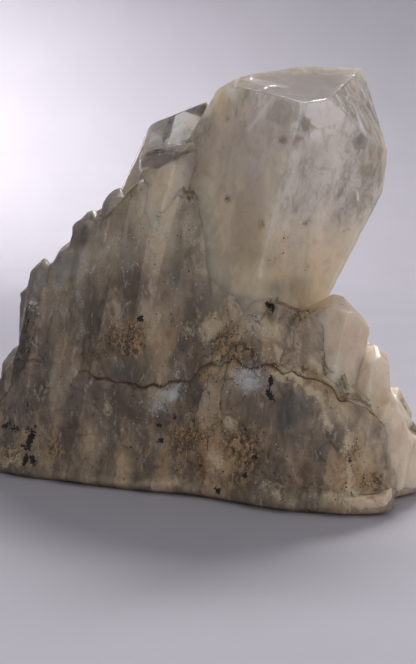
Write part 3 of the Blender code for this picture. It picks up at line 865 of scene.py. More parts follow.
def set_field(mesh, name, values):
    """Stores a number for each vertex, for the materials and the scattered grains."""
    field = mesh.attributes.get(name) or mesh.attributes.new(name, "FLOAT", "POINT")
    field.data.foreach_set("value", np.asarray(values, np.float32))


def field_values(mesh, name):
    values = np.zeros(len(mesh.vertices), np.float32)
    mesh.attributes[name].data.foreach_get("value", values)
    return values.astype(float)


def new_piece(name, mesh, material):
    """An object of one material, in the scene."""
    mesh.materials.clear()
    mesh.materials.append(material)
    piece = bpy.data.objects.new(name, mesh)
    bpy.context.scene.collection.objects.link(piece)
    return piece


def keep_piece(piece):
    """Marks a finished piece: it stands for the cluster's solid and rides on its body."""
    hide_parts("quartz_cluster")
    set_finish(piece, "quartz")
    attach(piece, "root")
    return piece


def fuse(mesh, *meetings):
    """Raises the surface where it meets its neighbours, so that they join in fillets. Each meeting is a
    distance for every vertex, and a reach, in metres."""
    points = vertex_array(mesh)
    normals = vertex_array(mesh, "normal")
    lift = np.zeros(len(points))
    for distance, reach in meetings:
        near = np.clip(1.0 - np.abs(distance) / reach, 0.0, 1.0)
        lift = np.maximum(lift, near**2 * reach / 4.0)
    points += normals * lift[:, None]
    mesh.vertices.foreach_set("co", points.astype(np.float32).ravel())
    mesh.update()


def soften(mesh, chosen, rounds):
    """Rounds off the chosen vertices of a mesh."""
    shape = bmesh.new()
    shape.from_mesh(mesh)
    vertices = [vertex for vertex, wanted in zip(shape.verts, chosen) if wanted]
    for _ in range(rounds):
        bmesh.ops.smooth_vert(
            shape, verts=vertices, factor=0.5, use_axis_x=True, use_axis_y=True, use_axis_z=True
        )
    shape.to_mesh(mesh)
    shape.free()


def paint(mesh, wander=1.0):
    """Fields for the materials: stains, painted shade, painted glints and a painted rim light, and clearness
    by the marks of the best side, and chance elsewhere.
    """
    points = vertex_array(mesh)
    normals = vertex_array(mesh, "normal")
    across, down = front_view(points)
    eye = np.array(set_out(view_axes()[0]))
    to_eye = eye - points
    to_eye /= np.linalg.norm(to_eye, axis=1)[:, None]
    facing = smooth(0.02, 0.3, (normals * to_eye).sum(axis=1))
    front = facing * smooth(0.030, 0.012, points[:, 1])
    warp = np.array([
        sum((noise.noise_vector(Vector(point) / size) * shift for size, shift in WARPS), Vector())
        for point in points
    ])
    for kind, rows in MARKS.items():
        share = MARK_WARP.get(kind, 1.0) * wander
        field = marks_at(rows, across + share * warp[:, 0], down + share * warp[:, 2])
        set_field(mesh, kind, field * front)
    set_field(mesh, "clear", marks_at(CLEAR, across, down))
    set_field(mesh, "away", 1.0 - front)


def cut_crystal(crystal, settings, low, slice_size):
    """A crystal as a closed mesh with eased edges, sliced finely enough for its relief above height low."""
    centre, lean, faces = crystal
    turned = lean_frame(*lean)
    middle = set_out(centre)
    shape = bmesh.new()
    bmesh.ops.create_cube(shape, size=BLOCK * MM, matrix=Matrix.Translation(middle))
    for azimuth, slope, distance in faces:
        normal = face_normal(turned, azimuth, slope)
        cut = bmesh.ops.bisect_plane(
            shape,
            geom=shape.verts[:] + shape.edges[:] + shape.faces[:],
            plane_co=middle + normal * distance * MM,
            plane_no=normal,
            clear_outer=True,
        )
        rim = [piece for piece in cut["geom_cut"] if isinstance(piece, bmesh.types.BMEdge)]
        if rim:
            bmesh.ops.contextual_create(shape, geom=rim)
    bmesh.ops.remove_doubles(shape, verts=shape.verts, dist=WELD * MM)
    bmesh.ops.recalc_face_normals(shape, faces=shape.faces)
    bmesh.ops.bevel(
        shape,
        geom=shape.edges[:],
        offset=settings.edge_ease,
        segments=2,
        profile=0.6,
        affect="EDGES",
        clamp_overlap=True,
    )
    bmesh.ops.remove_doubles(shape, verts=shape.verts, dist=0.2 * WELD * MM)
    local = [turned.transposed() @ (vertex.co - middle) for vertex in shape.verts]
    for k in range(3):
        reach = [point[k] for point in local]
        direction = turned.col[k]
        place = min(reach) + slice_size * 0.61
        if k == 2:
            place = max(place, (low - middle.z) / turned.col[2].z)
        while place < max(reach) - 0.3 * slice_size:
            bmesh.ops.bisect_plane(
                shape,
                geom=shape.verts[:] + shape.edges[:] + shape.faces[:],
                plane_co=middle + direction * place,
                plane_no=direction,
                dist=0.00002,
            )
            place += slice_size
    bmesh.ops.triangulate(shape, faces=[f for f in shape.faces if len(f.verts) > 3])
    return shape


def grow_relief(shape, crystal, settings, chip_share):
    """Growth lines across the prism faces, slight swells, and nicks along the edges."""
    normals, offsets = crystal_planes(*crystal)
    turned = lean_frame(*crystal[1])
    middle = set_out(crystal[0])
    shape.normal_update()
    moves = []
    for vertex in shape.verts:
        depths = normals @ np.array(vertex.co) - offsets
        order = np.sort(depths)
        near_edge = max(0.0, 1.0 - abs(order[-2]) / settings.nick_reach)
        point = vertex.co / MM
        height = turned.col[2].dot(vertex.co - middle) / MM
        slope = abs(turned.col[2].dot(vertex.normal))
        stria = noise.noise(Vector((point.x / 30.0, point.y / 30.0, height / 0.9)))
        stria += 0.6 * noise.noise(Vector((point.x / 14.0, 4.0, height / 2.6)))
        swell = noise.noise(point / 6.0) + 0.4 * noise.noise(point / 2.2)
        move = settings.stria_relief * stria * (1.0 - slope) + settings.swell_relief * swell
        nick = max(0.0, noise.noise(point / 1.7 + Vector((0.0, 7.0, 0.0))) - 0.12)
        nick += max(0.0, noise.noise(point / 4.5 + Vector((5.0, 0.0, 0.0))) - 0.3)
        move -= settings.nick_depth * nick * near_edge**2 * chip_share * 2.0
        moves.append(vertex.normal * move)
    for vertex, move in zip(shape.verts, moves):
        vertex.co += move


def edge_field(mesh, crystals, reach):
    """How near each vertex is to an edge of its crystal, from 0 to 1."""
    points = vertex_array(mesh)
    best = np.full(len(points), 1e9)
    near = np.zeros(len(points))
    for crystal in crystals:
        normals, offsets = crystal_planes(*crystal)
        depths = np.sort(points @ normals.T - offsets, axis=1)
        here = np.abs(depths[:, -1])
        closer = here < best
        near = np.where(closer, np.clip(1.0 + depths[:, -2] / reach, 0.0, 1.0), near)
        best = np.minimum(best, here)
    set_field(mesh, "edge", near)


def crystal_mesh(name, crystals, settings, low, slice_size, chip_share):
    """One mesh of several crystals that grew side by side."""
    mesh = bpy.data.meshes.new(name)
    whole = bmesh.new()
    for crystal in crystals:
        shape = cut_crystal(crystal, settings, low, slice_size)
        grow_relief(shape, crystal, settings, chip_share)
        part = bpy.data.meshes.new(name + "_part")
        shape.to_mesh(part)
        shape.free()
        whole.from_mesh(part)
        bpy.data.meshes.remove(part)
    whole.to_mesh(mesh)
    whole.free()
    return mesh


def melt(mesh, size, rounds):
    """Joins crystals that cross into one skin, its corners and creases eased. size in metres."""
    carrier = bpy.data.objects.new(mesh.name, mesh)
    bpy.context.scene.collection.objects.link(carrier)
    skin = carrier.modifiers.new("skin", "REMESH")
    skin.mode = "VOXEL"
    skin.voxel_size = size
    ease = carrier.modifiers.new("ease", "SMOOTH")
    ease.factor = 0.5
    ease.iterations = rounds
    seen = carrier.evaluated_get(bpy.context.evaluated_depsgraph_get())
    melted = bpy.data.meshes.new_from_object(seen)
    bpy.data.objects.remove(carrier)
    return melted


def smooth_faces(mesh, angle):
    """Smooth shading that keeps edges of this angle (degrees) and above crisp."""
    mesh.shade_smooth()
    mesh.set_sharp_from_angle(angle=math.radians(angle))


class NodeWriter:
    """Short ways to write a node tree."""

    def __init__(self, tree):
        self.tree = tree

    def add(self, kind, sockets=None, **values):
        node = self.tree.nodes.new(kind)
        for name, value in values.items():
            setattr(node, name, value)
        for name, value in (sockets or {}).items():
            self.feed(node.inputs[name], value)
        return node

    def feed(self, socket, value):
        if isinstance(value, bpy.types.NodeSocket):
            self.tree.links.new(value, socket)
        elif isinstance(value, tuple) and len(value) == 3 and socket.type == "RGBA":
            socket.default_value = (*value, 1.0)
        else:
            socket.default_value = value

    def math(self, operation, first, second=0.0, third=None):
        node = self.add("ShaderNodeMath", operation=operation)
        self.feed(node.inputs[0], first)
        self.feed(node.inputs[1], second)
        if third is not None:
            self.feed(node.inputs[2], third)
        return node.outputs[0]

    def mix(self, share, first, second, blend="MIX"):
        node = self.add("ShaderNodeMix", data_type="RGBA", blend_type=blend)
        self.feed(node.inputs[0], share)
        self.feed(node.inputs[6], first)
        self.feed(node.inputs[7], second)
        return node.outputs[2]

    def field(self, name):
        return self.add("ShaderNodeAttribute", attribute_type="GEOMETRY", attribute_name=name).outputs["Fac"]

    def noise(self, where, size, detail=3.0, roughness=0.55, distortion=0.0):
        """Noise of features about size metres across."""
        node = self.add(
            "ShaderNodeTexNoise",
            {
                "Vector": where,
                "Scale": 1.0 / size,
                "Detail": detail,
                "Roughness": roughness,
                "Distortion": distortion,
            },
        )
        return node.outputs["Fac"]

    def between(self, value, low, high):
        """0 at low, 1 at high, eased."""
        limits = {"From Min": low, "From Max": high}
        node = self.add("ShaderNodeMapRange", limits, interpolation_type="SMOOTHSTEP")
        self.feed(node.inputs["Value"], value)
        return node.outputs["Result"]


QUARTZ_IOR = 1.544
INNER_COLOURS = {
    "veil": (0.92, 0.89, 0.86),
    "glass": (0.84, 0.80, 0.75),
    "vein": (0.085, 0.058, 0.035),
    "pepper": (0.05, 0.03, 0.018),
    "crack": (0.105, 0.042, 0.019),
}
STAIN_AND_PAINTED_LIGHT_KEYS = ("rust", "rust_deep", "cream", "frost", "dark", "black")


def new_material(name):
    """A material, the writer of its tree, its shader and its output."""
    material = bpy.data.materials.new(name)
    material.use_nodes = True
    material.node_tree.nodes.clear()
    write = NodeWriter(material.node_tree)
    output = write.add("ShaderNodeOutputMaterial")
    shader = write.add("ShaderNodeBsdfPrincipled")
    write.feed(output.inputs["Surface"], shader.outputs["BSDF"])
    return material, write, shader, output


def quartz_finish(
    name,
    light,
    deep,
    colours,
    clear=0.0,
    depth=0.003,
    rough=0.35,
    grain=1.0,
    patches=1.0,
    smoke=None,
    milkiness=0.85,
    swirl=0.0,
    crystal=None,
    painted_facet_light=(),
):
    """Milky to clear quartz with stains, painted shade and painted light. light and deep are the two tones of
    its milk, clear the most light that it lets through, rough its roughness, grain the share of fine broken
    relief, and patches how stained it is away from the best side. smoke is the colour and density inside it,
    swirl how much white cloud its clear parts hold, less on faces that look up as painted shade, and
    painted_facet_light the patches of painted reflection and painted shade that planes inside crystal lay on
    its faces."""
    material, write, shader, output = new_material(name)
    place = write.add("ShaderNodeTexCoord").outputs["Object"]
    leaning = write.add("ShaderNodeMapping", {"Vector": place, "Rotation": (0.0, math.radians(-10.0), 0.0)})
    leaning.inputs["Scale"].default_value = (1.0, 1.0, 0.7)
    streaked = leaning.outputs["Vector"]
    tall = write.add("ShaderNodeMapping", {"Vector": place, "Rotation": (0.0, math.radians(-12.0), 0.0)})
    tall.inputs["Scale"].default_value = (1.0, 1.0, 0.36)
    tall = tall.outputs["Vector"]
    broad = write.noise(tall, 0.0075, 3.0, 0.55, 0.4)
    medium = write.noise(streaked, 0.0032, 5.0, 0.62, 0.6)
    fine = write.noise(place, 0.0011, 4.0, 0.65)
    grainy = write.noise(place, 0.00042, 2.0, 0.6)
    tone = write.math("ADD", write.math("MULTIPLY", broad, 0.6), write.math("MULTIPLY", medium, 0.4))
    colour = write.mix(write.between(tone, 0.41, 0.61), deep, light)
    shade = write.math("MULTIPLY_ADD", fine, 0.5, 0.75)
    colour = write.mix(0.45 * grain, colour, write.mix(1.0, colour, shade_colour(write, shade), "MULTIPLY"))
    # Milky patches, and a painted bounce-light rim along the lower edge of the root.
    pale = write.math("MULTIPLY", stain_free(write, "milk"), 0.75)
    colour = write.mix(pale, colour, colours["milk"])
    column = write.math("MULTIPLY_ADD", write.field("tone"), 0.5, 1.0)
    colour = write.mix(1.0, colour, shade_colour(write, column), "MULTIPLY")
    away = write.field("away")
    line = write.math("SUBTRACT", write.noise(place, 0.0048, 5.0, 0.62, 1.0), 0.5)
    line = write.math("ABSOLUTE", line)
    vein = write.math("MULTIPLY", write.between(line, 0.034, 0.004), write.between(medium, 0.46, 0.56))
    colour = write.mix(write.math("MULTIPLY", vein, 0.22 * grain), colour, colours["vein"])
    fleck = write.between(write.noise(tall, 0.0013, 4.0, 0.6, 0.6), 0.58, 0.70)
    colour = write.mix(write.math("MULTIPLY", fleck, 0.26 * grain), colour, colours["veil"])
    ochre_tint = write.math("MAXIMUM", write.field("warm"), write.math("MULTIPLY", away, 0.6 * patches))
    ochre_tint = write.math("MULTIPLY", ochre_tint, write.between(broad, 0.36, 0.58))
    colour = write.mix(ochre_tint, colour, write.mix(1.0, colour, (1.0, 0.83, 0.60), "MULTIPLY"))
    if clear:
        colour = write.mix(write.math("MULTIPLY", write.field("clear"), 0.65), colour, colours["glass"])
    chance = write.between(write.noise(place, 0.011, 4.0, 0.6, 0.8), 0.52, 0.72)
    chance = write.math("MULTIPLY", write.math("MULTIPLY", chance, away), patches)

    def mark_mask(field, extra, lift, low, high, texture):
        """The mask of a mark, for stains and painted light alike: its field, roughened by a texture."""
        amount = write.field(field)
        if extra is not None:
            amount = write.math("MAXIMUM", amount, extra)
        shifted = write.math("MULTIPLY_ADD", write.math("SUBTRACT", texture, 0.5), lift, amount)
        return write.between(shifted, low, high)

    wisps = write.noise(streaked, 0.0016, 6.0, 0.7, 1.2)
    speckle = write.noise(place, 0.0007, 4.0, 0.7)
    # Glassy smoky patches and painted shade, such as the shadow band beside a lighter column.
    dark = mark_mask("dark", write.math("MULTIPLY", chance, 0.5), 0.6, 0.15, 0.8, medium)
    colour = write.mix(write.math("MULTIPLY", dark, 0.75), colour, colours["dark"])
    # Bluish white frost, and painted glints such as the thin bright streaks on the big point.
    frost = mark_mask("frost", write.math("MULTIPLY", chance, 0.55), 1.7, 0.2, 1.05, wisps)
    colour = write.mix(write.math("MULTIPLY", frost, 0.92), colour, colours["frost"])
    cream = mark_mask("cream", write.math("MULTIPLY", chance, 0.5), 1.2, 0.2, 0.7, fine)
    colour = write.mix(write.math("MULTIPLY", cream, 0.88), colour, colours["cream"])
    rust = mark_mask("rust", chance, 1.0, 0.10, 0.85, speckle)
    strands = write.noise(streaked, 0.0014, 5.0, 0.68, 1.4)
    ochre = write.mix(write.between(strands, 0.43, 0.62), colours["rust_deep"], colours["rust"])
    colour = write.mix(write.math("MULTIPLY", rust, 0.85), colour, ochre)
    peppered = mark_mask("rust", chance, 0.9, 0.15, 0.7, fine)
    pepper = write.math("MULTIPLY", write.between(grainy, 0.55, 0.64), peppered)
    colour = write.mix(write.math("MULTIPLY", pepper, 0.55), colour, colours["pepper"])
    black = mark_mask("black", None, 2.2, 0.34, 0.5, speckle)
    colour = write.mix(black, colour, colours["black"])
    crack = mark_mask("crack", None, 1.6, 0.45, 1.0, medium)
    colour = write.mix(write.math("MULTIPLY", crack, 0.85), colour, colours["crack"])
    edge = write.between(write.field("edge"), 0.75, 1.0)
    edge = write.math("MULTIPLY", edge, write.between(wisps, 0.45, 0.75))
    colour = write.mix(write.math("MULTIPLY", edge, 0.35), colour, colours["frost"])
    cloud_and_painted_light = None
    if swirl:
        cloud = write.math("MULTIPLY", write.noise(streaked, 0.0026, 6.0, 0.64, 0.7), 0.6)
        cloud = write.math("MULTIPLY_ADD", write.noise(streaked, 0.008, 3.0, 0.6, 0.8), 0.4, cloud)
        curl = write.between(cloud, 0.36, 0.62)
        top_shade_normal = write.add("ShaderNodeSeparateXYZ")
        write.feed(top_shade_normal.inputs[0], write.add("ShaderNodeTexCoord").outputs["Normal"])
        # Painted shade: faces that look up hold less white cloud, so they are darker than the sides.
        level = write.between(top_shade_normal.outputs["Z"], 0.75, 0.4)
        level = write.math("MULTIPLY_ADD", level, 0.7 * swirl, 0.3 * swirl)
        curl = write.math("MULTIPLY", write.math("MULTIPLY", curl, write.field("clear")), level)
        colour = write.mix(curl, colour, colours["veil"])
        cloud_and_painted_light = curl
    # Painted reflections and painted shade: each facet patch lays its bright or dark colour on the surface
    # and keeps light from passing through there.
    for corners, gap, painted_light_colour, strength in painted_facet_light:
        mask = painted_facet_light_mask(write, place, crystal, corners, gap)
        mask = write.math("MULTIPLY", write.math("MULTIPLY", mask, strength), write.between(medium, 0.1, 0.5))
        colour = write.mix(mask, colour, painted_light_colour)
        cloud_and_painted_light = write.math("MAXIMUM", cloud_and_painted_light, mask)
    write.feed(shader.inputs["Base Color"], colour)
    matt = write.math("MAXIMUM", write.math("MAXIMUM", rust, black), write.math("MULTIPLY", cream, 0.7))
    base_rough = write.math("MULTIPLY_ADD", medium, 0.25, rough - 0.12)
    roughness = write.add("ShaderNodeMix", data_type="FLOAT")
    write.feed(roughness.inputs[0], write.math("MULTIPLY", matt, 0.8))
    write.feed(roughness.inputs[2], base_rough)
    write.feed(roughness.inputs[3], 0.72)
    write.feed(shader.inputs["Roughness"], roughness.outputs[0])
    height = write.math("ADD", write.math("MULTIPLY", fine, 0.00022), write.math("MULTIPLY", grainy, 0.00008))
    bump = write.add("ShaderNodeBump", {"Height": height, "Strength": 0.55 * grain + 0.02, "Distance": 1.0})
    write.feed(shader.inputs["Normal"], bump.outputs["Normal"])
    shader.inputs["IOR"].default_value = QUARTZ_IOR
    shader.inputs["Subsurface Weight"].default_value = milkiness
    shader.inputs["Subsurface Radius"].default_value = (1.0, 0.85, 0.65)
    shader.inputs["Subsurface Scale"].default_value = depth
    if clear:
        mottled = write.math("MULTIPLY_ADD", write.math("SUBTRACT", medium, 0.5), 0.9, write.field("clear"))
        glass = write.math("MULTIPLY", write.between(mottled, 0.18, 0.75), clear)
        hidden = write.math("MAXIMUM", rust, black)
        hidden = write.math("MAXIMUM", hidden, write.math("MULTIPLY", frost, 0.85))
        # The white cloud and the painted reflections and shade let less light through.
        if cloud_and_painted_light is not None:
            hidden = write.math("MAXIMUM", hidden, write.math("MULTIPLY", cloud_and_painted_light, 0.85))
        hidden = write.math("SUBTRACT", 1.0, hidden)
        write.feed(shader.inputs["Transmission Weight"], write.math("MULTIPLY", glass, hidden))
    if smoke:
        volume = write.add("ShaderNodeVolumeAbsorption", {"Color": smoke[0], "Density": smoke[1]})
        write.feed(output.inputs["Volume"], volume.outputs["Volume"])
    return material


def painted_facet_light_mask(write, place, crystal, corners, gap):
    """The mask of a many-sided patch of painted light, bright as a reflection or dark as shade by its colour,
    from the pixels of its corners; gap is how many mm behind the nearest face it stops."""
    eye = sight_line(*corners[0])[0]
    rays = [sight_line(*corner)[1] for corner in corners]
    middle = sum(rays, Vector()) / len(rays)
    mask = None
    for ray, following in zip(rays, rays[1:] + rays[:1]):
        side = ray.cross(following).normalized()
        side *= math.copysign(1.0, side.dot(middle))
        dot = write.add("ShaderNodeVectorMath", operation="DOT_PRODUCT")
        write.feed(dot.inputs[0], place)
        dot.inputs[1].default_value = side
        level = side.dot(eye)
        share = write.between(dot.outputs["Value"], level - 0.0001, level + 0.0005)
        mask = share if mask is None else write.math("MINIMUM", mask, share)
    across = sum(corner[0] for corner in corners) / len(corners)
    down = sum(corner[1] for corner in corners) / len(corners)
    reach = entry_point(crystal, across, down, gap).dot(middle)
    dot = write.add("ShaderNodeVectorMath", operation="DOT_PRODUCT")
    write.feed(dot.inputs[0], place)
    dot.inputs[1].default_value = middle
    near = write.between(dot.outputs["Value"], reach + 0.001, reach)
    return write.math("MULTIPLY", mask, near)


def stain_free(write, name):
    """A soft field as it is, eased."""
    return write.between(write.field(name), 0.05, 0.95)


def shade_colour(write, value):
    """A grey of this value."""
    node = write.add("ShaderNodeCombineColor")
    for channel in ("Red", "Green", "Blue"):
        write.feed(node.inputs[channel], value)
    return node.outputs["Color"]


def plain_finish(name, colour, colour_two, size, rough, bump_depth=0.0):
    """A two-toned finish for grains, flakes and the stage."""
    material, write, shader = new_material(name)[:3]
    place = write.add("ShaderNodeTexCoord").outputs["Object"]
    tone = write.noise(place, size, 4.0, 0.6)
    write.feed(shader.inputs["Base Color"], write.mix(write.between(tone, 0.35, 0.65), colour, colour_two))
    shader.inputs["Roughness"].default_value = rough
    if bump_depth:
        bump = write.add("ShaderNodeBump", {"Height": tone, "Strength": 1.0, "Distance": bump_depth})
        write.feed(shader.inputs["Normal"], bump.outputs["Normal"])
    return material


def colour_property(name, description, default):
    """A colour of the settings."""
    return FloatVectorProperty(
        name=name, description=description, default=default, subtype="COLOR", size=3, min=0.0, max=1.0
    )


def length_property(name, description, default):
    """A length of the settings, in metres."""
    return FloatProperty(
        name=name,
        description=description,
        default=default,
        min=0.0,
        unit="LENGTH",
        subtype="DISTANCE",
        precision=5,
    )


def count_property(name, description, default):
    """A whole number of the settings."""
    return IntProperty(name=name, description=description, default=default, min=1)


def amount_property(name, description, default):
    """A plain number of the settings."""
    return FloatProperty(name=name, description=description, default=default, min=0.0)


GRAIN_WIDTHS = (0.35, 1.5)  # smallest and largest, as shares of the mean
HALF_TURN = 3.14


def grain_tree():
    """Geometry Nodes: scatters flat grains over a surface by its density field, facing out of it."""
    tree = bpy.data.node_groups.new("scattered_grains", "GeometryNodeTree")
    face = tree.interface
    face.new_socket("Geometry", in_out="INPUT", socket_type="NodeSocketGeometry")
    for name, kind, default in (
        ("Density", "NodeSocketFloat", 1.0e6),
        ("Size", "NodeSocketFloat", 0.0003),
        ("Flatness", "NodeSocketFloat", 0.3),
        ("Turn", "NodeSocketFloat", 0.5),
        ("Seed", "NodeSocketInt", 1),
    ):
        face.new_socket(name, in_out="INPUT", socket_type=kind).default_value = default
    face.new_socket("Material", in_out="INPUT", socket_type="NodeSocketMaterial")
    face.new_socket("Geometry", in_out="OUTPUT", socket_type="NodeSocketGeometry")
    write = NodeWriter(tree)
    given = write.add("NodeGroupInput").outputs
    field = write.add("GeometryNodeInputNamedAttribute", {"Name": "density"}, data_type="FLOAT")
    amount = write.math("MULTIPLY", given["Density"], field.outputs["Attribute"])
    points = write.add(
        "GeometryNodeDistributePointsOnFaces",
        {"Mesh": given["Geometry"], "Density": amount, "Seed": given["Seed"]},
        distribute_method="RANDOM",
    )
    grain = write.add("GeometryNodeMeshIcoSphere", {"Radius": 1.0, "Subdivisions": 1})
    wide = write.add("FunctionNodeRandomValue", {"Seed": given["Seed"]}, data_type="FLOAT")
    other = write.add("FunctionNodeRandomValue", data_type="FLOAT")
    for width in (wide, other):
        width.inputs[2].default_value = GRAIN_WIDTHS[0]
        width.inputs[3].default_value = GRAIN_WIDTHS[1]
    write.feed(other.inputs["Seed"], write.math("ADD", given["Seed"], 3.0))
    scale = write.add("ShaderNodeCombineXYZ")
    write.feed(scale.inputs["X"], write.math("MULTIPLY", given["Size"], wide.outputs[1]))
    write.feed(scale.inputs["Y"], write.math("MULTIPLY", given["Size"], other.outputs[1]))
    write.feed(scale.inputs["Z"], write.math("MULTIPLY", given["Size"], given["Flatness"]))
    jitter = write.add("FunctionNodeRandomValue", data_type="FLOAT_VECTOR")
    turn = write.add("ShaderNodeCombineXYZ")
    for axis in ("X", "Y"):
        write.feed(turn.inputs[axis], given["Turn"])
    turn.inputs["Z"].default_value = HALF_TURN
    write.feed(jitter.inputs[1], turn.outputs[0])
    low = write.add("ShaderNodeVectorMath", operation="SCALE")
    write.feed(low.inputs[0], turn.outputs[0])
    low.inputs["Scale"].default_value = -1.0
    write.feed(jitter.inputs[0], low.outputs[0])
    write.feed(jitter.inputs["Seed"], write.math("ADD", given["Seed"], 7.0))
    turned = write.add(
        "FunctionNodeRotateRotation",
        {"Rotation": points.outputs["Rotation"], "Rotate By": jitter.outputs[0]},
        rotation_space="LOCAL",
    )
    placed = write.add(
        "GeometryNodeInstanceOnPoints",
        {
            "Points": points.outputs["Points"],
            "Instance": grain.outputs["Mesh"],
            "Rotation": turned.outputs[0],
            "Scale": scale.outputs[0],
        },
    )
    real = write.add("GeometryNodeRealizeInstances", {"Geometry": placed.outputs[0]})
    done = write.add("GeometryNodeSetMaterial", {"Geometry": real.outputs[0], "Material": given["Material"]})
    out = write.add("NodeGroupOutput")
    write.feed(out.inputs[0], done.outputs[0])
    return tree


def scatter(name, surface, material, density, size, flatness, turn, seed):
    """Grains scattered over a surface mesh by its density field, as one plain mesh piece."""
    tree = bpy.data.node_groups.get("scattered_grains") or grain_tree()
    carrier = bpy.data.objects.new(name, surface)
    bpy.context.scene.collection.objects.link(carrier)
    modifier = carrier.modifiers.new("grains", "NODES")
    modifier.node_group = tree
    values = {
        "Density": density,
        "Size": size,
        "Flatness": flatness,
        "Turn": turn,
        "Seed": seed,
        "Material": material,
    }
    for socket in tree.interface.items_tree:
        if socket.in_out == "INPUT" and socket.name in values:
            modifier[socket.identifier] = values[socket.name]
    seen = carrier.evaluated_get(bpy.context.evaluated_depsgraph_get())
    mesh = bpy.data.meshes.new_from_object(seen)
    mesh.name = name
    carrier.modifiers.remove(modifier)
    bpy.data.objects.remove(carrier)
    return keep_piece(new_piece(name, mesh, material))


def entry_point(crystal, across, down, depth):
    """The point depth mm inside a crystal along the sight line of a pixel."""
    normals, offsets = crystal_planes(*crystal)
    eye, ray = sight_line(across, down)
    enter = 0.0
    for normal, offset in zip(normals, offsets):
        speed = normal @ np.array(ray)
        if speed < 0.0:
            enter = max(enter, (offset - normal @ np.array(eye)) / speed)
    return eye + ray * (enter + depth * MM)


def veil_sheet(name, crystal, rows):
    """Curved sheets inside a crystal, with a patchy density, that its veils are scattered on."""
    shape = bmesh.new()
    densities = []
    for across, down, depth, half_width, half_height, yaw, tilt, roll, bend, density in rows:
        middle = entry_point(crystal, across, down, depth)
        turned = (
            Matrix.Rotation(math.radians(yaw), 3, "Z")
            @ Matrix.Rotation(math.radians(tilt), 3, "X")
            @ Matrix.Rotation(math.radians(roll), 3, "Y")
        )
        steps_x = max(2, int(half_width / 0.5))
        steps_z = max(2, int(half_height / 0.5))
        grid = []
        for i in range(steps_x + 1):
            column = []
            for k in range(steps_z + 1):
                x = half_width * (2.0 * i / steps_x - 1.0)
                z = half_height * (2.0 * k / steps_z - 1.0)
                y = bend * (x * x + 0.5 * z * z) / max(half_width, half_height)
                y += 0.8 * noise.noise(Vector((x / 3.0, z / 3.0, across)))
                place = middle + turned @ Vector((x, y, z)) * MM
                column.append(shape.verts.new(place))
                reach = math.hypot(x / half_width, z / half_height)
                reach += 0.7 * noise.noise(Vector((x / 1.7, z / 1.7, across + down)))
                patch = 0.5 + 1.3 * noise.noise(Vector((x / 2.6, z / 2.6, down)))
                densities.append(density * max(0.0, patch) * max(0.0, 1.15 - reach))
            grid.append(column)
        for i in range(steps_x):
            for k in range(steps_z):
                shape.faces.new((grid[i][k], grid[i + 1][k], grid[i + 1][k + 1], grid[i][k + 1]))
    mesh = bpy.data.meshes.new(name)
    shape.to_mesh(mesh)
    shape.free()
    inside = outside(crystal, vertex_array(mesh)) < -0.0008
    set_field(mesh, "density", np.array(densities) * inside)
    return mesh


class ROOT_PG_settings(bpy.types.PropertyGroup):
    """Sizes of the broken root mass."""

    front_spacing: length_property("Front spacing", "Spacing of the net's lines on the best side", 0.00038)
    back_spacing: length_property("Back spacing", "Spacing of the net's lines on the other sides", 0.00095)
    rings_below: count_property("Rings below the crack", "Levels of the net below the crack", 52)
    rings_above: count_property("Rings above the crack", "Levels of the net above the crack", 70)
    rings_cap: count_property("Rings on top", "Levels of the net between crest and crown", 8)
    crack_depth: length_property("Crack depth", "How deep the healed crack is open", 0.0004)
    dive: length_property("Dive", "How far the flank's crest runs back into its crystals", 0.0016)
    point_dive: length_property("Point dive", "How much farther it does so at the front left point", 0.0052)
    right_dive: length_property("Right dive", "How deep the root lies behind the right points", 0.0032)
    sink_reach: length_property("Sink", "How far off the big point a crest still runs down onto it", 0.008)
    big_fillet: length_property("Big fillet", "How far the big point and the root run into each other", 0.010)
    fillet: length_property("Fillet", "How far crystals and root run into each other", 0.006)


class CRYSTAL_PG_settings(bpy.types.PropertyGroup):
    """Sizes of the crystals' faces and edges."""

    edge_ease: length_property("Edge ease", "Width of the worn edges between faces", 0.00022)
    stria_relief: length_property("Growth lines", "Relief of the lines across the prism faces", 0.00005)
    swell_relief: length_property("Swells", "Slight swells of the faces", 0.00003)
    nick_depth: length_property("Nicks", "Depth of the nicks along the edges", 0.0005)
    nick_reach: length_property("Nick reach", "How far from an edge it is nicked", 0.0012)


class COLOUR_PG_settings(bpy.types.PropertyGroup):
    """Colours of the quartz, of what stains it, and of its painted shade and painted glints."""

    milk_light: colour_property("Milk, light", "Lighter milky quartz", (0.80, 0.685, 0.50))
    milk_deep: colour_property("Milk, deep", "Deeper milky quartz", (0.62, 0.51, 0.36))
    root_light: colour_property("Root, light", "Lighter tone of the broken root", (0.42, 0.335, 0.245))
    root_deep: colour_property("Root, deep", "Deeper tone of the broken root", (0.165, 0.126, 0.092))
    flank_light: colour_property("Flank, light", "Lighter tone of the smoky points", (0.38, 0.31, 0.235))
    flank_deep: colour_property("Flank, deep", "Deeper tone of the smoky points", (0.21, 0.168, 0.122))
    blush_light: colour_property("Blush, light", "Lighter tone of the right points", (0.86, 0.72, 0.58))
    blush_deep: colour_property("Blush, deep", "Deeper tone of the right points", (0.70, 0.565, 0.44))
    rust: colour_property("Iron stain", "Ochre iron stain", (0.56, 0.365, 0.175))
    rust_deep: colour_property("Iron stain, deep", "Deep brown iron stain", (0.075, 0.042, 0.02))
    cream: colour_property("Cream", "Cream coloured veins", (0.70, 0.58, 0.38))
    # Also the colour of painted glints.
    frost: colour_property("Frost", "Bluish white shattered quartz", (0.78, 0.77, 0.78))
    root_frost: colour_property("Frost, root", "Shattered quartz on the broken root", (0.58, 0.57, 0.57))
    # Also the colour of painted shade.
    dark: colour_property("Smoky", "Glassy smoky quartz", (0.13, 0.118, 0.106))
    black: colour_property("Black", "Manganese marks", (0.012, 0.011, 0.012))


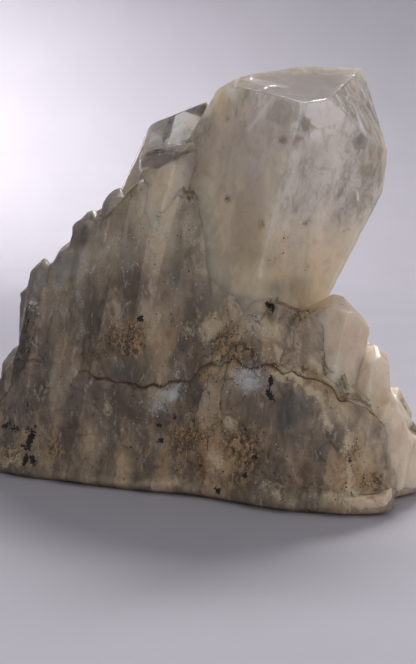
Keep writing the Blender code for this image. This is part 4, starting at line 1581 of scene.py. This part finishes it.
class VEIL_PG_settings(bpy.types.PropertyGroup):
    """Sizes of the veils inside the clear quartz and of the specks on it."""

    flake_size: length_property("Flake size", "Mean width of the flakes that make a veil", 0.00030)
    density: amount_property("Flake density", "Flakes on a square millimetre of veil", 4.0)
    speck_size: length_property("Speck size", "Mean half width of the scattered specks", 0.00014)


class STAGE_PG_settings(bpy.types.PropertyGroup):
    """The floor, its light and the view."""

    floor: colour_property("Floor", "Pale floor and backdrop", (0.60, 0.585, 0.65))
    wall_distance: length_property("Backdrop distance", "From the cluster to where the floor rises", 0.34)
    bend: length_property("Bend", "Radius of the rise from floor to backdrop", 0.34)
    sky: colour_property("Room light", "Even light of the room", (0.80, 0.82, 0.90))
    sky_strength: amount_property("Room strength", "Strength of the room's light", 0.24)
    window_power: amount_property("Window power", "Power of the window's light (watts)", 18.5)
    wash_power: amount_property("Wash power", "Power of the light on the backdrop (watts)", 0.52)
    fill_power: amount_property("Fill power", "Power of the light in front (watts)", 2.05)


def stain_and_painted_light_colours(settings):
    """The colours of all that stains the quartz or paints shade, glints and rim light on it, and of what is
    inside it.
    """
    found = {key: tuple(getattr(settings, key)) for key in STAIN_AND_PAINTED_LIGHT_KEYS}
    # The lighter milk colour also paints the bounce-light rim along the foot.
    found["milk"] = tuple(settings.milk_light)
    found.update(INNER_COLOURS)
    return found


def wall_distance(mesh):
    """Signed distance finder for the root mass, and its tree."""
    tree = BVHTree.FromPolygons(
        [vertex.co for vertex in mesh.vertices], [tuple(face.vertices) for face in mesh.polygons]
    )

    def distance(points):
        found = np.full(len(points), 1.0)
        for i, point in enumerate(points):
            place, normal, _, away = tree.find_nearest(Vector(point), 0.006)
            if place is not None:
                found[i] = math.copysign(away, (Vector(point) - place).dot(normal))
        return found

    return distance


class QUARTZ_OT_root_mass(bpy.types.Operator):
    """Makes the broken root mass with its healed crack"""

    bl_idname = "quartz.root_mass"
    bl_label = "Broken root"

    def execute(self, context):
        scene = context.scene
        wall = BrokenWall(scene.quartz_root)
        rings, near_crack = wall.rings()
        points, faces = closed_loft([[set_out(point) for point in ring] for ring in rings], set_out(CROWN))
        mesh = bpy.data.meshes.new("root_mass")
        mesh.from_pydata([tuple(point) for point in points], [], faces)
        mesh.update()
        bare = mesh.copy()
        bare.name = "root_mass_bare"
        places = vertex_array(mesh)
        distance = np.full(len(places), 1.0)
        for crystal in ALL_CRYSTALS:
            distance = np.minimum(distance, outside(crystal, places))
        settings = scene.quartz_root
        fuse(mesh, (distance, settings.fillet), (outside(BIG_POINT, places), settings.big_fillet))
        for vertex in mesh.vertices:
            vertex.co.z = max(vertex.co.z, 0.0)
        paint(mesh)
        meeting = smooth(0.0055, 0.0, outside(BIG_POINT, places))
        for crystal in (RIGHT_POINT, RIGHT_STEP, *RIGHT_CRYSTALS[:4]):
            meeting = np.maximum(meeting, smooth(0.0045, 0.0005, outside(crystal, places)))
        set_field(mesh, "milk", np.maximum(field_values(mesh, "milk"), 0.5 * meeting))
        crack = np.concatenate([*near_crack, [0.0]])
        crack *= smooth(-57.0, -48.0, places[:, 0] / MM - SETTING_OUT.x)
        set_field(mesh, "crack", crack)
        along = np.tile(wall.along, len(rings))
        heights = np.append(places[:-1, 2] / MM, 0.0)[: len(along)]
        tone = [column_tone(a, z) for a, z in zip(along, heights)]
        set_field(mesh, "tone", np.append(tone, 0.0))
        shape = bmesh.new()
        shape.from_mesh(mesh)
        bmesh.ops.triangulate(shape, faces=[face for face in shape.faces if len(face.verts) > 4])
        shape.to_mesh(mesh)
        shape.free()
        mesh.shade_smooth()
        colours = scene.quartz_colours
        stain_and_painted_light = stain_and_painted_light_colours(colours)
        stain_and_painted_light["frost"] = tuple(colours.root_frost)
        material = quartz_finish(
            "stained_quartz",
            tuple(colours.root_light),
            tuple(colours.root_deep),
            stain_and_painted_light,
            depth=0.0022,
            rough=0.42,
            milkiness=0.5,
            grain=1.0,
        )
        keep_piece(new_piece("root_mass", mesh, material))
        return {"FINISHED"}


def crystal_piece(
    context, name, crystals, material, low, slice_size, fused=True, chip_share=1.0, melted=False, big=False
):
    """Grows crystals as one piece, run into the root mass with a fillet. They are sliced above height low,
    which is in metres like the slices' size."""
    settings = context.scene.quartz_crystals
    mesh = crystal_mesh(name, crystals, settings, low, slice_size, chip_share)
    if melted:
        mesh = melt(mesh, MELT_SIZE, MELT_ROUNDS)
    mesh.update()
    if fused:
        root = context.scene.quartz_root
        distance = wall_distance(bpy.data.meshes["root_mass_bare"])(vertex_array(mesh))
        fuse(mesh, (distance, root.big_fillet if big else root.fillet))
        if big:
            soften(mesh, np.abs(distance) < root.fillet, FILLET_ROUNDS)
    for vertex in mesh.vertices:
        vertex.co.z = max(vertex.co.z, 0.0)
    edge_field(mesh, crystals, EDGE_REACH)
    paint(mesh, CRYSTAL_WANDER)
    smooth_faces(mesh, MELTED_EDGE if melted else CRISP_EDGE)
    return keep_piece(new_piece(name, mesh, material))


class QUARTZ_OT_big_point(bpy.types.Operator):
    """Grows the big point, clear above and to the right, milky below"""

    bl_idname = "quartz.big_point"
    bl_label = "Big point"

    def execute(self, context):
        colours = context.scene.quartz_colours
        material = quartz_finish(
            "clearing_quartz",
            tuple(colours.milk_light),
            tuple(colours.milk_deep),
            stain_and_painted_light_colours(colours),
            clear=0.62,
            depth=0.018,
            rough=0.2,
            grain=0.10,
            patches=0.25,
            smoke=((0.90, 0.85, 0.76), 4.0),
            swirl=0.9,
            crystal=BIG_POINT,
            painted_facet_light=BIG_PAINTED_FACET_LIGHT,
        )
        crystal_piece(context, "big_point", [BIG_POINT], material, 0.038, 0.0006, chip_share=0.4, big=True)
        return {"FINISHED"}


class QUARTZ_OT_left_points(bpy.types.Operator):
    """Grows the clear point at the back and the milky one in front of it"""

    bl_idname = "quartz.left_points"
    bl_label = "Left points"

    def execute(self, context):
        colours = context.scene.quartz_colours
        stain_and_painted_light = stain_and_painted_light_colours(colours)
        clear = quartz_finish(
            "clear_quartz",
            tuple(colours.milk_light),
            tuple(colours.milk_deep),
            stain_and_painted_light,
            clear=0.86,
            depth=0.006,
            rough=0.14,
            grain=0.03,
            patches=0.2,
            swirl=0.5,
            crystal=REAR_LEFT_POINT,
            painted_facet_light=REAR_PAINTED_FACET_LIGHT,
            smoke=((0.84, 0.80, 0.76), 14.0),
        )
        smoky = quartz_finish(
            "smoky_milk_quartz",
            tuple(colours.blush_deep),
            tuple(colours.flank_light),
            stain_and_painted_light,
            clear=0.95,
            depth=0.005,
            rough=0.3,
            grain=0.12,
            patches=0.3,
            smoke=((0.74, 0.68, 0.62), 20.0),
            swirl=0.3,
            crystal=FRONT_LEFT_POINT,
            painted_facet_light=FRONT_PAINTED_FACET_LIGHT,
        )
        crystal_piece(context, "rear_left_point", [REAR_LEFT_POINT], clear, 0.06, 0.0014, chip_share=0.4)
        crystal_piece(context, "front_left_point", [FRONT_LEFT_POINT], smoky, 0.06, 0.0008)
        return {"FINISHED"}


class QUARTZ_OT_right_points(bpy.types.Operator):
    """Grows the blushing points at the right end and the flake under them"""

    bl_idname = "quartz.right_points"
    bl_label = "Right points"

    def execute(self, context):
        colours = context.scene.quartz_colours
        stain_and_painted_light = stain_and_painted_light_colours(colours)
        stain_and_painted_light["frost"] = tuple(colours.blush_deep)
        material = quartz_finish(
            "blush_quartz",
            tuple(colours.blush_light),
            tuple(colours.blush_deep),
            stain_and_painted_light,
            clear=0.5,
            depth=0.009,
            rough=0.3,
            grain=0.25,
            patches=0.4,
        )
        crystal_piece(context, "right_point", [RIGHT_POINT], material, 0.015, 0.0009)
        crystals = [RIGHT_STEP, *RIGHT_CRYSTALS]
        crystal_piece(context, "right_steps", crystals, material, 0.004, 0.0015, chip_share=0.5, melted=True)
        flake = quartz_finish(
            "flake_quartz",
            (0.90, 0.70, 0.55),
            (0.66, 0.48, 0.35),
            stain_and_painted_light_colours(colours),
            depth=0.004,
            rough=0.35,
            grain=0.8,
            patches=0.4,
        )
        crystal_piece(context, "caught_flake", [FLAKE], flake, 0.0, 0.0009, fused=False, chip_share=2.0)
        return {"FINISHED"}


class QUARTZ_OT_flank_points(bpy.types.Operator):
    """Grows the row of smoky points down the left flank"""

    bl_idname = "quartz.flank_points"
    bl_label = "Flank points"

    def execute(self, context):
        colours = context.scene.quartz_colours
        material = quartz_finish(
            "smoky_quartz",
            tuple(colours.flank_light),
            tuple(colours.flank_deep),
            stain_and_painted_light_colours(colours),
            clear=0.5,
            depth=0.005,
            rough=0.25,
            grain=0.15,
            patches=0.3,
        )
        crystal_piece(context, "flank_points", FLANK_CRYSTALS, material, 0.02, 0.0015, melted=True)
        return {"FINISHED"}


class QUARTZ_OT_rear_points(bpy.types.Operator):
    """Grows the points that crowd the back"""

    bl_idname = "quartz.rear_points"
    bl_label = "Rear points"

    def execute(self, context):
        colours = context.scene.quartz_colours
        material = quartz_finish(
            "rear_quartz",
            tuple(colours.milk_light),
            tuple(colours.flank_light),
            stain_and_painted_light_colours(colours),
            clear=0.55,
            depth=0.004,
            rough=0.25,
            grain=0.15,
            patches=0.6,
        )
        crystal_piece(context, "rear_points", REAR_CRYSTALS, material, 0.01, 0.0018)
        return {"FINISHED"}


VEIL_TONES = ((0.80, 0.77, 0.74), (0.90, 0.88, 0.86))
MANGANESE_TONES = ((0.010, 0.009, 0.010), (0.030, 0.022, 0.018))
IRON_TONES = ((0.045, 0.027, 0.014), (0.15, 0.085, 0.035))
DRUSE_TONES = ((0.62, 0.60, 0.58), (0.80, 0.78, 0.76))


class QUARTZ_OT_veils(bpy.types.Operator):
    """Scatters the veils of fine flakes inside the clear quartz"""

    bl_idname = "quartz.veils"
    bl_label = "Veils"

    def execute(self, context):
        settings = context.scene.quartz_veils
        pale = plain_finish("veil_flakes", *VEIL_TONES, 0.002, 0.35)
        for name, crystal, rows, seed in (
            ("big_point_veils", BIG_POINT, BIG_VEILS, 11),
            ("rear_point_veils", REAR_LEFT_POINT, REAR_VEILS, 12),
        ):
            sheet = veil_sheet(name + "_sheet", crystal, rows)
            density = settings.density / MM**2
            scatter(name, sheet, pale, density, settings.flake_size / 2.0, 0.25, 0.5, seed)
        return {"FINISHED"}


class QUARTZ_OT_specks(bpy.types.Operator):
    """Sets the black specks and the pale grains on the best side and round the root"""

    bl_idname = "quartz.specks"
    bl_label = "Specks and grains"

    def execute(self, context):
        scene = context.scene
        black = plain_finish("manganese_specks", *MANGANESE_TONES, 0.0004, 0.6)
        brown = plain_finish("iron_grains", *IRON_TONES, 0.0006, 0.7)
        pale = plain_finish("druse_grains", *DRUSE_TONES, 0.001, 0.18)
        self.placed_specks(scene, black)
        root = bpy.data.objects["root_mass"].data
        fields = {name: field_values(root, name) for name in ("rust", "frost", "away", "cream")}
        points = vertex_array(root)
        patchy = np.array([noise.noise(Vector(p) / 0.006) for p in points])
        fine = np.array([noise.noise(Vector(p) / 0.0016) for p in points])
        stained = np.maximum(fields["rust"], fields["away"] * smooth(0.1, 0.5, patchy) * 0.6)
        above = smooth(0.0015, 0.003, points[:, 2])
        frosted = np.maximum(fields["frost"], 0.6 * fields["cream"])
        speck_size = scene.quartz_veils.speck_size
        rows = (
            ("iron_grains", stained**1.5 * above * smooth(-0.1, 0.3, fine), brown, 1.3, speck_size * 1.1, 21),
            ("black_grains", (0.08 + stained) * above, black, 0.35, speck_size * 1.3, 22),
            ("druse_grains", frosted * above, pale, 1.6, 0.00016, 23),
        )
        for name, density, material, per_mm, size, seed in rows:
            surface = root.copy()
            set_field(surface, "density", density)
            scatter(name, surface, material, per_mm / MM**2, size, 0.55, 0.6, seed)
        return {"FINISHED"}

    def placed_specks(self, scene, material):
        """Specks at their own pixels, on whatever crystal or root face is seen there."""
        trees = []
        for piece in scene.objects:
            if piece.type == "MESH" and "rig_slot" in piece and not piece.name.endswith("veils"):
                mesh = piece.data
                corners = [vertex.co for vertex in mesh.vertices]
                trees.append(BVHTree.FromPolygons(corners, [tuple(face.vertices) for face in mesh.polygons]))
        chance = random.Random(31)
        shape = bmesh.new()
        for across, down, half_width in SPECKS:
            eye, ray = sight_line(across, down)
            hits = [hit for hit in (tree.ray_cast(eye, ray) for tree in trees) if hit[0] is not None]
            if not hits:
                raise RuntimeError(f"no face is seen at pixel {across}, {down}")
            place, normal = min(hits, key=lambda hit: hit[3])[:2]
            size = half_width * MM * 0.62
            turned = normal.to_track_quat("Z", "Y").to_matrix().to_4x4()
            for _ in range(3):
                turn = Matrix.Rotation(chance.uniform(0.0, 6.28), 4, "Z")
                width = size * chance.uniform(0.6, 1.1)
                scale = Matrix.Diagonal((width, size * chance.uniform(0.4, 0.8), size * 0.3, 1.0))
                shift = Vector((chance.uniform(-1, 1), chance.uniform(-1, 1), 0.0)) * size * 0.6
                move = Matrix.Translation(place) @ turned @ Matrix.Translation(shift) @ turn @ scale
                bmesh.ops.create_icosphere(shape, subdivisions=1, radius=1.0, matrix=move)
        mesh = bpy.data.meshes.new("black_specks")
        shape.to_mesh(mesh)
        shape.free()
        keep_piece(new_piece("black_specks", mesh, material))


BEND_STEPS = 24
FLOOR_HALF_WIDTH = 1.8  # metres
# The stage's lamps: name, place, target, width (metres), spread (degrees) and colour.
LAMPS = (
    ("window", (0.17, 0.80, 0.76), (0.0, 0.0, 0.03), 0.65, 120.0, (1.0, 0.97, 0.96)),
    ("wash", (-0.42, 0.40, 0.42), (-0.20, 0.55, 0.10), 0.2, 66.0, (1.0, 0.95, 0.95)),
    ("fill", (0.42, -0.78, 0.50), (0.0, 0.0, 0.05), 0.9, 160.0, (1.0, 0.96, 0.90)),
)


class QUARTZ_OT_stage(bpy.types.Operator):
    """Sets the floor, the backdrop, the light and the view"""

    bl_idname = "quartz.stage"
    bl_label = "Stage"

    def execute(self, context):
        scene = context.scene
        settings = scene.quartz_stage
        self.backdrop(settings)
        self.lights(scene, settings)
        self.view(scene)
        scene.view_settings.view_transform = "Standard"
        scene.view_settings.look = "None"
        scene.view_settings.exposure = 0.0
        return {"FINISHED"}

    def backdrop(self, settings):
        """One sheet: the floor, a quarter turn and the wall behind the cluster."""
        start = settings.wall_distance
        radius = settings.bend
        profile = [(-1.6, 0.0), (-0.6, 0.0), (0.0, 0.0), (start, 0.0)]
        for step in range(1, BEND_STEPS + 1):
            turn = math.radians(90.0) * step / BEND_STEPS
            profile.append((start + radius * math.sin(turn), radius * (1.0 - math.cos(turn))))
        profile += [(start + radius, radius + 0.6), (start + radius, radius + 1.6)]
        points = []
        faces = []
        for side in (-FLOOR_HALF_WIDTH, FLOOR_HALF_WIDTH):
            points += [(side, y, z) for y, z in profile]
        count = len(profile)
        for i in range(count - 1):
            faces.append((i, i + count, i + count + 1, i + 1))
        mesh = bpy.data.meshes.new("stage_floor")
        mesh.from_pydata(points, [], faces)
        mesh.shade_smooth()
        pale = tuple(settings.floor)
        material = plain_finish("pale_floor", pale, tuple(channel * 0.97 for channel in pale), 0.05, 0.9)
        mesh.materials.append(material)
        floor = bpy.data.objects.new("stage_floor", mesh)
        bpy.context.scene.collection.objects.link(floor)

    def lights(self, scene, settings):
        world = bpy.data.worlds.new("room")
        world.use_nodes = True
        background = world.node_tree.nodes["Background"]
        background.inputs["Color"].default_value = (*settings.sky, 1.0)
        background.inputs["Strength"].default_value = settings.sky_strength
        scene.world = world
        powers = (settings.window_power, settings.wash_power, settings.fill_power)
        for (name, place, target, size, spread, colour), power in zip(LAMPS, powers):
            light = bpy.data.lights.new(name, "AREA")
            light.shape = "SQUARE"
            light.size = size
            light.spread = math.radians(spread)
            light.energy = power
            light.color = colour
            lamp = bpy.data.objects.new(name, light)
            lamp.visible_camera = False
            lamp.location = place
            lamp.rotation_euler = (Vector(target) - Vector(place)).to_track_quat("-Z", "Y").to_euler()
            scene.collection.objects.link(lamp)

    def view(self, scene):
        camera = bpy.data.cameras.new("best_side")
        camera.lens = VIEW_LENS
        camera.sensor_fit = "VERTICAL"
        camera.sensor_height = VIEW_SENSOR
        camera.clip_start = 0.01
        seen = bpy.data.objects.new("best_side", camera)
        seen.location = set_out(view_axes()[0])
        seen.rotation_euler = (math.radians(90.0 - VIEW_PITCH), 0.0, 0.0)
        scene.collection.objects.link(seen)
        scene.camera = seen


OPERATORS = (
    QUARTZ_OT_root_mass,
    QUARTZ_OT_big_point,
    QUARTZ_OT_left_points,
    QUARTZ_OT_right_points,
    QUARTZ_OT_flank_points,
    QUARTZ_OT_rear_points,
    QUARTZ_OT_veils,
    QUARTZ_OT_specks,
    QUARTZ_OT_stage,
)
SETTINGS = {
    "quartz_root": ROOT_PG_settings,
    "quartz_crystals": CRYSTAL_PG_settings,
    "quartz_colours": COLOUR_PG_settings,
    "quartz_veils": VEIL_PG_settings,
    "quartz_stage": STAGE_PG_settings,
}


class QUARTZ_PT_panel(bpy.types.Panel):
    """The cluster's pieces, in the order in which they are made"""

    bl_label = "Quartz cluster"
    bl_idname = "QUARTZ_PT_panel"
    bl_space_type = "VIEW_3D"
    bl_region_type = "UI"
    bl_category = "Quartz"

    def draw(self, context):
        for operator in OPERATORS:
            self.layout.operator(operator.bl_idname)
        for name, group in SETTINGS.items():
            box = self.layout.box()
            for entry in group.__annotations__:
                box.prop(getattr(context.scene, name), entry)


def register():
    noise.seed_set(NOISE_SEED)
    for name, group in SETTINGS.items():
        bpy.utils.register_class(group)
        setattr(bpy.types.Scene, name, PointerProperty(type=group))
    for operator in OPERATORS:
        bpy.utils.register_class(operator)
    bpy.utils.register_class(QUARTZ_PT_panel)


def unregister():
    bpy.utils.unregister_class(QUARTZ_PT_panel)
    for operator in reversed(OPERATORS):
        bpy.utils.unregister_class(operator)
    for name, group in SETTINGS.items():
        delattr(bpy.types.Scene, name)
        bpy.utils.unregister_class(group)


def main():
    register()
    bpy.ops.quartz.root_mass()
    bpy.ops.quartz.big_point()
    bpy.ops.quartz.left_points()
    bpy.ops.quartz.right_points()
    bpy.ops.quartz.flank_points()
    bpy.ops.quartz.rear_points()
    bpy.ops.quartz.veils()
    bpy.ops.quartz.specks()
    bpy.ops.quartz.stage()
    bpy.context.view_layer.update()


if __name__ == "__main__":
    main()
